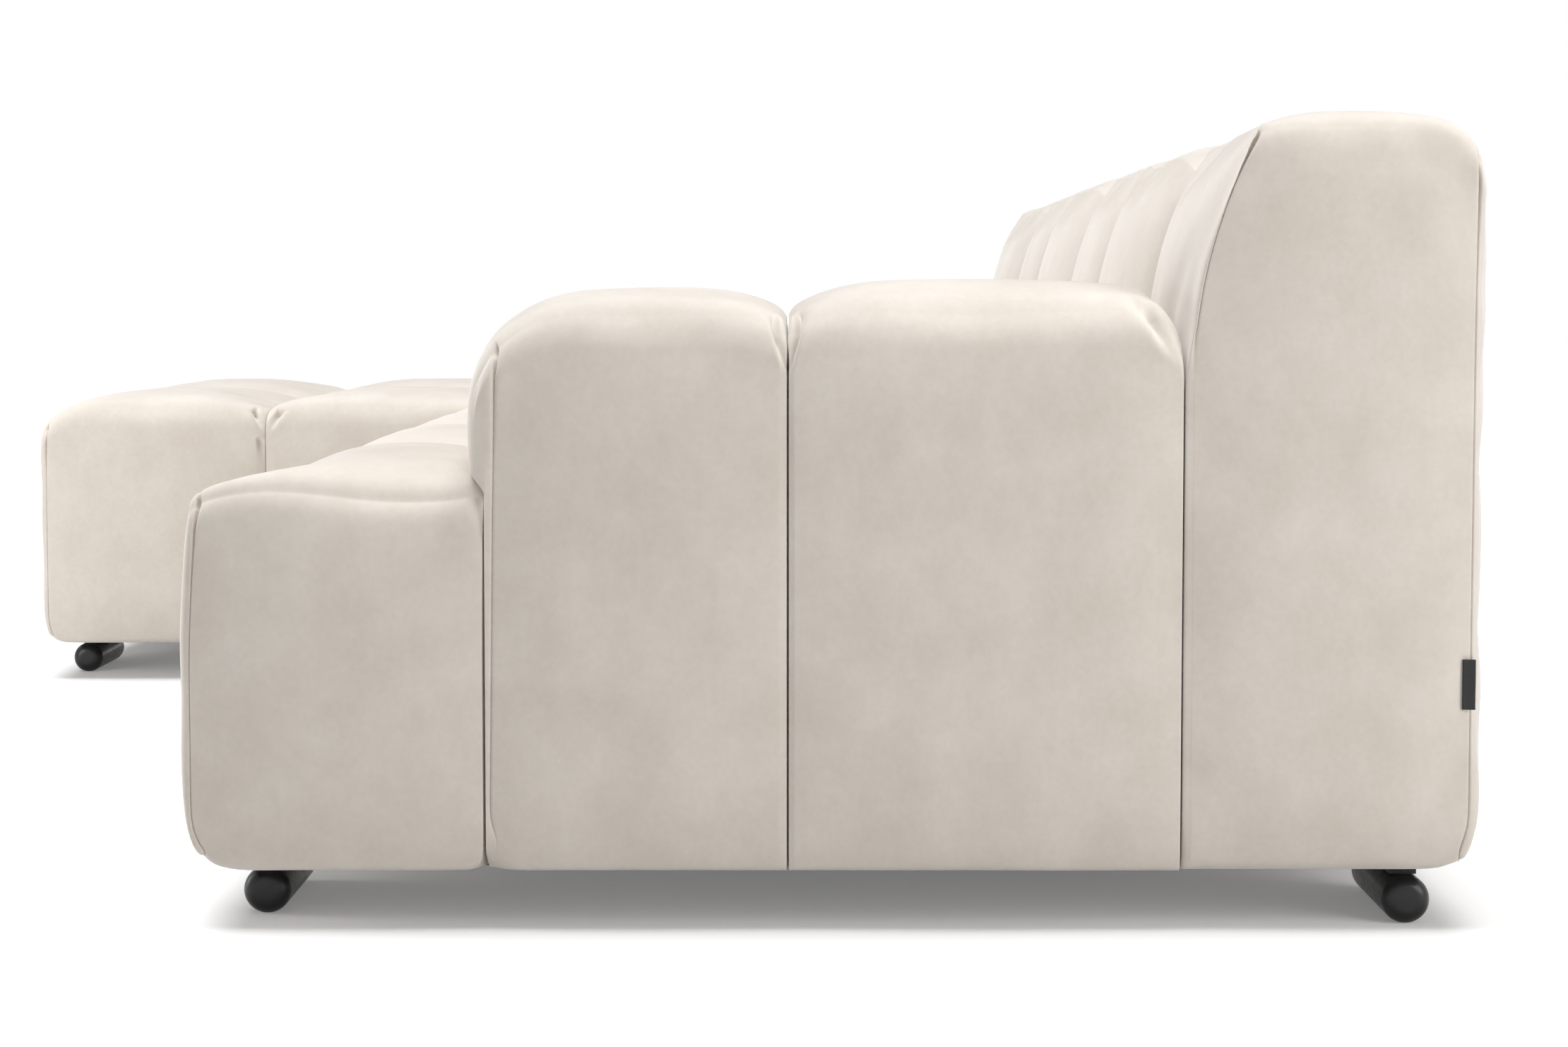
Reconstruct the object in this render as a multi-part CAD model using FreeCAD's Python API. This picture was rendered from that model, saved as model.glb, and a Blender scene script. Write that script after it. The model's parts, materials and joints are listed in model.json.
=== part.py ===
import FreeCAD, Part
import math
import os

# Lounge sofa with a chaise: a seat unit with one arm, hooked to a chaise unit.
# Millimetres. +X runs along the length to the arm end, +Y to the back, +Z up.
# The origin is on the floor, under the middle of the whole outline.

V = FreeCAD.Vector

# Overall sizes
LENGTH = 2800.0
CHAISE_DEPTH = 1675.0
HEIGHT = 700.0
ARM_HEIGHT = 555.0
SEAT_HEIGHT = 404.0
UNDERSIDE = 50.0

# Where the units and the sewn rows meet
JOIN_X = -445.0
JOIN_GAP = 1.5
SOFA_FRONT = -276.0
CHAISE_FRONT = -CHAISE_DEPTH / 2 + 15.0
ARM_FRONT = -25.0
ARM_MIDDLE = 234.0
BACK_FRONT = 575.0
BACK_REAR = CHAISE_DEPTH / 2 - 10.0
END_BULGE = 10.0
BACK_END_BULGE = 8.5
END_X = LENGTH / 2 - END_BULGE
ARM_INNER = 1137.0
SOFA_CHANNELS = 4
CHAISE_CHANNELS = 2
CHAISE_ROWS = (CHAISE_FRONT, -517.0, -271.0, ARM_FRONT, ARM_MIDDLE, BACK_FRONT - 1.0)

# Padding
PAD_GAP = 0.6
SEAM_DROP = 32.0
ROLL = 34.0
ROLL_RISE = 21.0
CROSS_SEAM_DROP = 3.0
CROSS_RISE = 9.0
SKIRT_ROUND = 34.0
ARM_SEAM_DROP = 30.0
ARM_ROLL = 46.0
FRONT_BULGE = 10.0
CHAISE_BULGE = 15.0
FOAM_TOP = 300.0
ARM_FOAM_TOP = 505.0
BACK_SEAM_DRAW = 26.0
BACK_TOP_FRONT = 622.0

# Timber frame
RAIL_BOTTOM = 51.6
RAIL_TOP = 192.0
RAIL = 40.0
CROSS = 25.0
CORE_FRONT = -247.0
CORE_REAR = 792.0
CORE_END = 1360.0
CORE_TOP = 195.0
CHAISE_CORE_FRONT = -806.0
CHAISE_CORE_NEAR = -487.0
POST = 40.0
BOARD = 18.0
BACK_BOARD = 8.0
BACK_CORE_FRONT = 668.0
BACK_CORE_TOP = 640.0
FIT = 0.4

# Sinuous springs
WIRE = 4.0
WAVE = 60.0
WAVE_HALF_WIDTH = 24.0
SPRINGS = 8
SPRING_Z = 195.4
FELT_BOTTOM = 202.0
FELT = 5.0

# Feet: lying cylinders with rounded ends
FOOT_RADIUS = 21.0
FOOT_LENGTH = 170.0
FOOT_END_ROUND = 12.0
FOOT_AXIS_Z = 20.6
FOOT_FLAT_Z = 40.0
MOUNT_LENGTH = 120.0
MOUNT_WIDTH = 24.0
BOLT_RADIUS = 4.0
BOLT_SPACING = 80.0
BOLT_BOTTOM = 22.0
BOLT_TOP = 105.0
SOFA_FRONT_FOOT_Y = -226.0
CHAISE_FRONT_FOOT_Y = -785.0
REAR_FOOT_Y = 771.0

# Hook plates that join the units
HOOK_WIDTH = 60.0
HOOK_PLATE = 4.0
HOOK_Y = (30.0, 480.0)
SCREW_RADIUS = 2.5
SCREW_HEAD_RADIUS = 5.0
SCREW_LENGTH = 26.0

# Bare tab in the back's rear seam
TAB_HEIGHT = 43.0
TAB_WIDTH = 11.0
TAB_Z = 192.0


def box(x0, x1, y0, y1, z0, z1):
    return Part.makeBox(x1 - x0, y1 - y0, z1 - z0, V(x0, y0, z0))


def rod(radius, length, base, direction):
    return Part.makeCylinder(radius, length, base, direction)


def group(solids):
    return Part.makeCompound(list(solids))


def save(node, shape):
    if isinstance(shape, Part.Solid):
        shape = Part.makeCompound([shape])
    if not shape.isValid():
        raise RuntimeError(node + " is not a valid shape")
    shape.exportStep(os.path.join("parts", node + ".step"))


def one_solid(shape):
    """The single solid inside a boolean result."""
    if len(shape.Solids) != 1:
        raise RuntimeError("expected one solid, found %d" % len(shape.Solids))
    return shape.Solids[0]


def edge(place, start, step):
    """A line, or an arc when the step also names a point to pass through."""
    if len(step) == 1:
        return Part.LineSegment(place(start), place(step[0])).toShape()
    return Part.Arc(place(start), place(step[0]), place(step[1])).toShape()


def wire(place, start, steps):
    edges = []
    for step in steps:
        edges.append(edge(place, start, step))
        start = step[-1]
    return Part.Wire(edges)


def prism(axis, low, high, start, steps):
    """A closed outline of lines and arcs, pushed along one axis from low to high."""
    places = {
        "X": (lambda p: V(low, p[0], p[1]), V(high - low, 0, 0)),
        "Y": (lambda p: V(p[0], low, p[1]), V(0, high - low, 0)),
        "Z": (lambda p: V(p[0], p[1], low), V(0, 0, high - low)),
    }
    place, push = places[axis]
    return Part.Face(wire(place, start, steps)).extrude(push)


def middle(a, b, bulge):
    """The point half way from a to b, pushed out to the right of that way."""
    dx = b[0] - a[0]
    dy = b[1] - a[1]
    reach = math.hypot(dx, dy)
    return ((a[0] + b[0]) / 2 + bulge * dy / reach, (a[1] + b[1]) / 2 - bulge * dx / reach)


def bow(a, b, bulge):
    """One step from a to b: straight, or an arc that bulges to the right."""
    if bulge == 0:
        return (b,)
    return (middle(a, b, bulge), b)


def corner(a, b, centre):
    """A rounded corner from a to b whose middle lies away from the centre."""
    half = math.sqrt(0.5)
    u = centre[0] + (a[0] - centre[0]) * half + (b[0] - centre[0]) * half
    v = centre[1] + (a[1] - centre[1]) * half + (b[1] - centre[1]) * half
    return ((u, v), b)


def channel_tops(seams, seam_z, roll, rise, crown):
    """Steps along the tops of sewn channels, from the last seam back to the first."""
    steps = []
    for left, right in reversed(list(zip(seams, seams[1:]))):
        shoulder = seam_z + rise
        steps.append(corner((right, seam_z), (right - roll, shoulder), (right - roll, seam_z)))
        steps.append(bow((right - roll, shoulder), (left + roll, shoulder), crown))
        steps.append(corner((left + roll, shoulder), (left, seam_z), (left + roll, seam_z)))
    return steps


def side_view(seams, base, seam_z, crest, low_side, high_side, roll=ROLL):
    """Start and steps of a padded block seen from the side.

    low_side and high_side give the bulge of each side and the round at its foot.
    """
    low, high = seams[0], seams[-1]
    low_bulge, low_round = low_side
    high_bulge, high_round = high_side
    rise = (crest - seam_z) * ROLL_RISE / SEAM_DROP
    start = (low + low_round, base)
    steps = [((high - high_round, base),)]
    if high_round:
        foot = (high, base + high_round)
        steps.append(corner((high - high_round, base), foot, (high - high_round, base + high_round)))
    steps.append(bow((high, base + high_round), (high, seam_z), high_bulge))
    steps += channel_tops(seams, seam_z, roll, rise, crest - seam_z - rise)
    steps.append(bow((low, seam_z), (low, base + low_round), low_bulge))
    if low_round:
        steps.append(corner((low, base + low_round), start, (low + low_round, base + low_round)))
    return start, steps


def plan_view(x_seams, y_seams, bulges):
    """Start and steps of a padded block seen from above, bulged between its seams.

    bulges gives the front, +X, rear and -X sides in that order.
    """
    x0, x1 = x_seams[0], x_seams[-1]
    y0, y1 = y_seams[0], y_seams[-1]
    front, right, rear, left = bulges
    steps = []
    for a, b in zip(x_seams, x_seams[1:]):
        steps.append(bow((a, y0), (b, y0), front))
    for a, b in zip(y_seams, y_seams[1:]):
        steps.append(bow((x1, a), (x1, b), right))
    steps.append(bow((x1, y1), (x0, y1), rear))
    for b, a in reversed(list(zip(y_seams, y_seams[1:]))):
        steps.append(bow((x0, a), (x0, b), left))
    return (x0, y0), steps


def shares(low, high, count):
    """Seam places that share a length out into equal channels."""
    return [low + (high - low) * i / count for i in range(count + 1)]


def tufted(x_seams, y_seams, x_sides, y_sides, bulges, base, seam_z, crest, roll=ROLL):
    """A padded block with sewn channels along Y and cross seams along X."""
    margin = 40.0
    lengthwise = prism("Y", y_seams[0] - margin, y_seams[-1] + margin,
                       *side_view(x_seams, base, seam_z, crest, *x_sides, roll=roll))
    cross_z = seam_z - CROSS_SEAM_DROP
    crosswise = prism("X", x_seams[0] - margin, x_seams[-1] + margin,
                      *side_view(y_seams, base, cross_z, crest + CROSS_RISE, *y_sides, roll=roll))
    above = prism("Z", base - margin, crest + margin, *plan_view(x_seams, y_seams, bulges))
    return lengthwise.common(crosswise).common(above)


def seat_front_pad():
    seams = shares(JOIN_X + JOIN_GAP, END_X, SOFA_CHANNELS)
    rows = (SOFA_FRONT, ARM_FRONT - PAD_GAP)
    pad = tufted(seams, rows, ((0, 0), (END_BULGE, SKIRT_ROUND)), ((FRONT_BULGE, SKIRT_ROUND), (0, 0)),
                 (FRONT_BULGE, END_BULGE, 0, 0), UNDERSIDE, SEAT_HEIGHT - SEAM_DROP, SEAT_HEIGHT)
    core = box(JOIN_X - 5, CORE_END, CORE_FRONT, ARM_FRONT + 5, UNDERSIDE - 10, FOAM_TOP)
    return one_solid(pad.cut(core))


def seat_pad():
    width = (END_X - JOIN_X - JOIN_GAP) / SOFA_CHANNELS
    first = JOIN_X + JOIN_GAP
    seams = [first, first + width, first + 2 * width, first + 3 * width, ARM_INNER - PAD_GAP]
    rows = (ARM_FRONT, ARM_MIDDLE, BACK_FRONT - 1.0)
    return one_solid(tufted(seams, rows, ((0, 0), (0, 0)), ((0, 0), (0, 0)), (0, 0, 0, 0),
                            FOAM_TOP + 1, SEAT_HEIGHT - SEAM_DROP, SEAT_HEIGHT))


def arm_pad(y0, y1, front_bulge, crest):
    sides = (ARM_INNER, END_X)
    pad = tufted(sides, (y0, y1), ((0, 0), (END_BULGE, SKIRT_ROUND)), ((front_bulge, 0), (0, 0)),
                 (front_bulge, END_BULGE, 0, 0), UNDERSIDE, crest - ARM_SEAM_DROP, crest, roll=ARM_ROLL)
    frame = box(ARM_INNER + 26, CORE_END, ARM_FRONT + 22, BACK_FRONT + 5, UNDERSIDE - 10, ARM_FOAM_TOP)
    base = box(ARM_INNER - 5, CORE_END, ARM_FRONT - 5, BACK_FRONT + 5, UNDERSIDE - 10, CORE_TOP)
    seat_room = box(ARM_INNER - 5, END_X + 20, ARM_FRONT - 40, ARM_FRONT, UNDERSIDE - 10, SEAT_HEIGHT + 3)
    return one_solid(pad.cut(frame).cut(base).cut(seat_room))


def back_section(x, draw):
    """One upright section of the back, drawn in by a share of the seam's depth."""
    front = BACK_FRONT + 0.6 * draw
    top = HEIGHT - 0.9 * draw
    rear = BACK_REAR - 0.3 * draw
    knee = (front, 470.0)
    brow = (BACK_TOP_FRONT + 0.6 * draw, top - 26.0)
    crest_front = (brow[0] + 30.0, top - 5.0)
    crest_rear = (rear - 34.0, top - 5.0)
    shoulder = (rear, top - 40.0)
    foot = (rear, UNDERSIDE + SKIRT_ROUND)
    start = (front, UNDERSIDE)
    lean = (front + 0.33 * (brow[0] - front), (knee[1] + brow[1]) / 2 + 16.0)
    steps = [
        ((rear - SKIRT_ROUND, UNDERSIDE),),
        corner((rear - SKIRT_ROUND, UNDERSIDE), foot, (rear - SKIRT_ROUND, UNDERSIDE + SKIRT_ROUND)),
        bow(foot, shoulder, BACK_REAR + END_BULGE - rear - 0.3 * draw),
        corner(shoulder, crest_rear, (rear - 34.0, top - 40.0)),
        bow(crest_rear, crest_front, 5.0),
        corner(crest_front, brow, (brow[0] + 28.0, top - 30.0)),
        (lean, knee),
        (start,),
    ]
    return wire(lambda p: V(x, p[0], p[1]), start, steps)


def back_channel(left, right, wraps_low, wraps_high):
    """One channel of the back: full at its middle and drawn in at its seams."""
    ease = ((12.0, 0.56), (32.0, 0.24), (76.0, 0.06))
    end_ease = ((3.0, 0.62), (10.0, 0.28), (26.0, 0.05))
    start = left - BACK_END_BULGE if wraps_low else left
    finish = right + BACK_END_BULGE if wraps_high else right
    stations = [(start, 1.0)]
    stations += [(start + d, share) for d, share in (end_ease if wraps_low else ease)]
    stations.append(((start + finish) / 2, 0.0))
    stations += [(finish - d, share) for d, share in reversed(end_ease if wraps_high else ease)]
    stations.append((finish, 1.0))
    sections = [back_section(x, BACK_SEAM_DRAW * share) for x, share in stations]
    return Part.makeLoft(sections, True, True)


def back_pad(x_seams, low_end, high_end):
    """Fluted back: its channels sewn together, hollow over the frame and its foam."""
    last = len(x_seams) - 2
    low_core = x_seams[0] + 28.0
    high_core = x_seams[-1] - 28.0
    frame = box(low_core, high_core, BACK_CORE_FRONT, CORE_REAR, UNDERSIDE - 10, BACK_CORE_TOP)
    low_base = low_core if low_end else x_seams[0] - 5.0
    high_base = high_core if high_end else x_seams[-1] + 5.0
    base = box(low_base, high_base, BACK_FRONT - 30, CORE_REAR, UNDERSIDE - 10, CORE_TOP + 10)
    channels = []
    for i, (left, right) in enumerate(zip(x_seams, x_seams[1:])):
        channel = back_channel(left, right, low_end and i == 0, high_end and i == last)
        channels.append(channel.cut(frame).cut(base))
    return one_solid(channels[0].multiFuse(channels[1:]))


def chaise_pad():
    seams = shares(-END_X, JOIN_X - JOIN_GAP - 9.0, CHAISE_CHANNELS)
    near = 8.5
    rows = (CHAISE_ROWS[0], CHAISE_ROWS[-1])
    pad = tufted(seams, rows, ((END_BULGE, SKIRT_ROUND), (9.0, SKIRT_ROUND)),
                 ((CHAISE_BULGE, SKIRT_ROUND), (0, 0)), (CHAISE_BULGE, near, 0, END_BULGE),
                 UNDERSIDE, SEAT_HEIGHT - SEAM_DROP, SEAT_HEIGHT)
    inner_row = CHAISE_ROWS[2]
    core = box(-CORE_END, CHAISE_CORE_NEAR, CHAISE_CORE_FRONT, BACK_FRONT + 5, UNDERSIDE - 10, FOAM_TOP)
    joined = box(CHAISE_CORE_NEAR - 5, JOIN_X + 5, inner_row, BACK_FRONT + 5, UNDERSIDE - 10, FOAM_TOP)
    return one_solid(pad.cut(core).cut(joined))


def bolt_places(feet):
    for x, y in feet:
        for side in (-0.5, 0.5):
            yield x + side * BOLT_SPACING, y


def drilled(shape, feet, low, high, slack=0.3):
    """The shape with a clear hole for each foot bolt."""
    for x, y in bolt_places(feet):
        shape = shape.cut(rod(BOLT_RADIUS + slack, high - low, V(x, y, low), V(0, 0, 1)))
    return shape


def foot(x, y):
    """A lying cylinder with rounded ends, flat under its mount and on the floor."""
    half = FOOT_LENGTH / 2
    body = rod(FOOT_RADIUS, FOOT_LENGTH, V(x - half, y, FOOT_AXIS_Z), V(1, 0, 0))
    ends = [e for e in body.Edges if isinstance(e.Curve, Part.Circle)]
    body = body.makeFillet(FOOT_END_ROUND, ends)
    keep = box(x - half - 1, x + half + 1, y - FOOT_RADIUS - 1, y + FOOT_RADIUS + 1, 0, FOOT_FLAT_Z)
    return one_solid(drilled(body.common(keep), [(x, y)], BOLT_BOTTOM - 2, FOOT_FLAT_Z + 1))


def foot_mount(x, y):
    half = MOUNT_LENGTH / 2
    bar = box(x - half, x + half, y - MOUNT_WIDTH / 2, y + MOUNT_WIDTH / 2, FOOT_FLAT_Z + 0.1, UNDERSIDE)
    return drilled(bar, [(x, y)], FOOT_FLAT_Z - 1, UNDERSIDE + 1)


def foot_bolts(feet):
    return group(rod(BOLT_RADIUS, BOLT_TOP - BOLT_BOTTOM, V(x, y, BOLT_BOTTOM), V(0, 0, 1))
                 for x, y in bolt_places(feet))


def corner_block(x, y, to_x, to_y):
    """A three-cornered timber brace in the angle of two rails."""
    leg = 90.0
    steps = [((x + to_x * leg, y),), ((x, y + to_y * leg),), ((x, y),)]
    return prism("Z", RAIL_TOP - 70, RAIL_TOP - 10, (x, y), steps)


def sinuous(length):
    """A flat zigzag spring along +Y, its end bars along X."""
    reach = WAVE_HALF_WIDTH
    turn = WAVE / 4
    waves = int(length // WAVE)
    half = math.sqrt(0.5) * turn
    points_y = [i * 2 * turn for i in range(2 * waves + 1)]
    side = 1
    start = (-reach, 0.0)
    steps = []
    for y in points_y[:-1]:
        end = (side * (reach - turn), y)
        steps.append((end,))
        steps.append(((end[0] + side * half, y + turn - half), (side * reach, y + turn)))
        steps.append(((end[0] + side * half, y + turn + half), (end[0], y + 2 * turn)))
        side = -side
    steps.append(((side * reach, points_y[-1]),))
    path = wire(lambda p: V(p[0], p[1], 0), start, steps)
    ring = Part.Wire([Part.Circle(V(*start, 0), V(1, 0, 0), WIRE / 2).toShape()])
    return path.makePipeShell([ring], True, False), points_y[-1]


def moved(shape, x, y, z, turn=0.0):
    copy = shape.copy()
    copy.Placement = FreeCAD.Placement(V(x, y, z), FreeCAD.Rotation(V(0, 0, 1), turn))
    return copy


def clip(bar_y):
    """A bent clip that holds a spring's end bar on its rail."""
    block = box(-9, 9, bar_y - 7, bar_y + 7, -3.0, 6.0)
    return block.cut(rod(WIRE / 2 + 0.4, 30, V(-15, bar_y, 0), V(1, 0, 0)))


def hook_screws(rail_x, direction, heights):
    """Round-headed screws through the hook plates into the end rails."""
    screws = []
    for y in HOOK_Y:
        for side in (-0.3, 0.3):
            for z in heights:
                tip = V(rail_x, y + side * HOOK_WIDTH, z)
                shank = rod(SCREW_RADIUS, SCREW_LENGTH, tip, V(direction, 0, 0))
                head = rod(SCREW_HEAD_RADIUS, 2.5, tip, V(-direction, 0, 0))
                screws.append(shank.fuse(head).removeSplitter().Solids[0])
    return screws


def hooks(start, steps, screws):
    plates = []
    for y in HOOK_Y:
        plate = prism("Y", y - HOOK_WIDTH / 2, y + HOOK_WIDTH / 2, start, steps)
        plates.append(plate)
    return [holed(plate, screws) for plate in plates]


def holed(shape, screws):
    """The shape with a clear hole round each screw that meets it."""
    for screw in screws:
        middle_point = screw.BoundBox.Center
        length = 3 * SCREW_LENGTH
        hole = rod(SCREW_RADIUS + 0.3, length,
                   V(middle_point.x - length / 2, middle_point.y, middle_point.z), V(1, 0, 0))
        shape = shape.cut(hole)
    return shape


def make_sofa():
    near_x = CORE_END - 4.0
    far_x = JOIN_X + 4.0
    front_y = CORE_FRONT + 1.0
    rear_y = CORE_REAR - 1.0
    front_feet = [(1235.0, SOFA_FRONT_FOOT_Y), (-310.0, SOFA_FRONT_FOOT_Y)]
    rear_feet = [(1280.0, REAR_FOOT_Y), (-330.0, REAR_FOOT_Y)]
    feet = front_feet + rear_feet

    save("seat_front_pad", seat_front_pad())
    save("seat_pad", seat_pad())
    save("arm_front_pad", arm_pad(ARM_FRONT, ARM_MIDDLE - PAD_GAP, 16.0, ARM_HEIGHT - 4))
    save("arm_rear_pad", arm_pad(ARM_MIDDLE, BACK_FRONT - 1.0, 0, ARM_HEIGHT))
    sofa_seams = shares(JOIN_X + JOIN_GAP, END_X, SOFA_CHANNELS)
    save("sofa_back_pad", back_pad(sofa_seams, False, True))

    screw_heights = (110.0, 165.0)
    rail_face = far_x - HOOK_PLATE
    screws = hook_screws(rail_face, 1, screw_heights)
    lip = rail_face - 18.0
    up_hook = [((far_x, 90),), ((far_x, 180),), ((rail_face, 180),), ((rail_face, 94),),
               ((lip + HOOK_PLATE, 94),), ((lip + HOOK_PLATE, 138),), ((lip, 138),), ((lip, 90),)]
    save("sofa_hooks", group(hooks((lip, 90), up_hook, screws)))
    save("sofa_hook_screws", group(screws))

    rails = (RAIL_BOTTOM, RAIL_TOP)
    front_rail = box(far_x, near_x, front_y, front_y + RAIL, *rails)
    save("sofa_front_rail", drilled(front_rail, front_feet, RAIL_BOTTOM - 1, BOLT_TOP + 2))
    rear_rail = box(far_x, near_x, rear_y - RAIL, rear_y, *rails)
    save("sofa_rear_rail", drilled(rear_rail, rear_feet, RAIL_BOTTOM - 1, BOLT_TOP + 2))
    inner = (front_y + RAIL + FIT, rear_y - RAIL - FIT)
    far_rail = holed(box(far_x, far_x + CROSS, *inner, *rails), screws)
    near_rail = box(near_x - CROSS, near_x, *inner, *rails)
    save("sofa_end_rails", group([far_rail, near_rail]))
    arm_rail_x = ARM_INNER + 28.0
    cross_low = (RAIL_BOTTOM, RAIL_TOP - 45)
    cross = [box(x, x + CROSS, *inner, *cross_low) for x in (150.0, 560.0)]
    save("sofa_cross_rails", group(cross))
    save("arm_base_rail", box(arm_rail_x, arm_rail_x + CROSS, *inner, *rails))
    spring_rail_y = 600.0
    spring_span = (far_x + CROSS + FIT, arm_rail_x - FIT)
    save("sofa_spring_rail", box(*spring_span, spring_rail_y, spring_rail_y + RAIL, RAIL_TOP - 42, RAIL_TOP))
    near_in = near_x - CROSS - FIT
    far_in = far_x + CROSS + FIT
    blocks = [corner_block(near_in, inner[0], -1, 1), corner_block(near_in, inner[1], -1, -1),
              corner_block(far_in, inner[0], 1, 1), corner_block(far_in, inner[1], 1, -1)]
    save("sofa_corner_blocks", group(blocks))

    spring, run = sinuous(spring_rail_y - front_y - RAIL / 2 + 30)
    first_y = spring_rail_y + RAIL / 2 - run
    pitch = (spring_span[1] - spring_span[0]) / SPRINGS
    places = [spring_span[0] + pitch * (i + 0.5) for i in range(SPRINGS)]
    save("sofa_springs", group(moved(spring, x, first_y, SPRING_Z) for x in places))
    clips = [moved(clip(y), x, first_y, SPRING_Z) for x in places for y in (0.0, run)]
    save("sofa_spring_clips", group(clips))
    deck_end = ARM_INNER - 3.0
    outline = [((near_x, front_y),), ((near_x, ARM_FRONT - 5),), ((deck_end, ARM_FRONT - 5),),
               ((deck_end, BACK_FRONT - 3),), ((far_x, BACK_FRONT - 3),), ((far_x, front_y),)]
    foam_bottom = FELT_BOTTOM + FELT + FIT
    save("sofa_deck_felt", prism("Z", FELT_BOTTOM, FELT_BOTTOM + FELT, (far_x, front_y), outline))
    save("sofa_seat_foam", prism("Z", foam_bottom, FOAM_TOP - 0.5, (far_x, front_y), outline))

    arm_in = ARM_INNER + 28.0
    arm_y0 = ARM_FRONT + 24.0
    arm_y1 = BACK_FRONT - 8.0
    foot_z = RAIL_TOP + FIT
    cap_z = ARM_FOAM_TOP - 62.0
    save("arm_outer_board", box(near_x - BOARD, near_x, arm_y0, arm_y1, foot_z, cap_z))
    save("arm_inner_board", box(arm_in, arm_in + BOARD, arm_y0, arm_y1, foot_z, cap_z))
    post_x = (arm_in + BOARD + FIT, near_x - BOARD - FIT)
    arm_posts = [box(*post_x, y, y + POST, foot_z, cap_z) for y in (arm_y0, arm_y1 - POST)]
    save("arm_posts", group(arm_posts))
    save("arm_top_board", box(arm_in, near_x, arm_y0, arm_y1, cap_z + FIT, cap_z + BOARD))
    save("arm_foam", box(arm_in, near_x, arm_y0, arm_y1, cap_z + BOARD + FIT, ARM_FOAM_TOP - 0.5))

    make_back("sofa", far_x + 26, near_x - 2, (1318.0, 740.0, 150.0, -405.0))
    make_feet("sofa", feet, ("front_near", "front_far", "rear_near", "rear_far"))
    sheet = box(far_x, near_x, front_y, rear_y, UNDERSIDE + 0.3, UNDERSIDE + 1.2)
    save("sofa_dust_cover", drilled(sheet, feet, UNDERSIDE, UNDERSIDE + 2))

    tab_x = END_X + BACK_END_BULGE + 0.3
    tab_y = BACK_REAR - 0.3 * BACK_SEAM_DRAW - TAB_WIDTH
    save("side_tab", box(tab_x, tab_x + 0.9, tab_y, tab_y + TAB_WIDTH, TAB_Z, TAB_Z + TAB_HEIGHT))


def make_back(unit, x0, x1, posts):
    """Upright frame of a back: posts on the rear rail, a top rail, a board and its foam."""
    y1 = CORE_REAR - 4.0
    y0 = y1 - POST
    post_top = BACK_CORE_TOP - 42.0
    uprights = [box(x, x + POST, y0, y1, RAIL_TOP + FIT, post_top) for x in posts]
    save(unit + "_back_posts", group(uprights))
    save(unit + "_back_top_rail", box(x0, x1, y0, y1, post_top + FIT, BACK_CORE_TOP - 1))
    board_y = y0 - FIT - BACK_BOARD
    save(unit + "_back_board", box(x0, x1, board_y, y0 - FIT, CORE_TOP + 10, BACK_CORE_TOP - 1))
    save(unit + "_back_foam",
         box(x0, x1, BACK_CORE_FRONT + 1, board_y - FIT, CORE_TOP + 10, BACK_CORE_TOP - 1))


def make_feet(unit, feet, names):
    for (x, y), name in zip(feet, names):
        save(unit + "_foot_" + name, foot(x, y))
    save(unit + "_foot_mounts", group(foot_mount(x, y) for x, y in feet))
    save(unit + "_foot_bolts", foot_bolts(feet))


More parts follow.
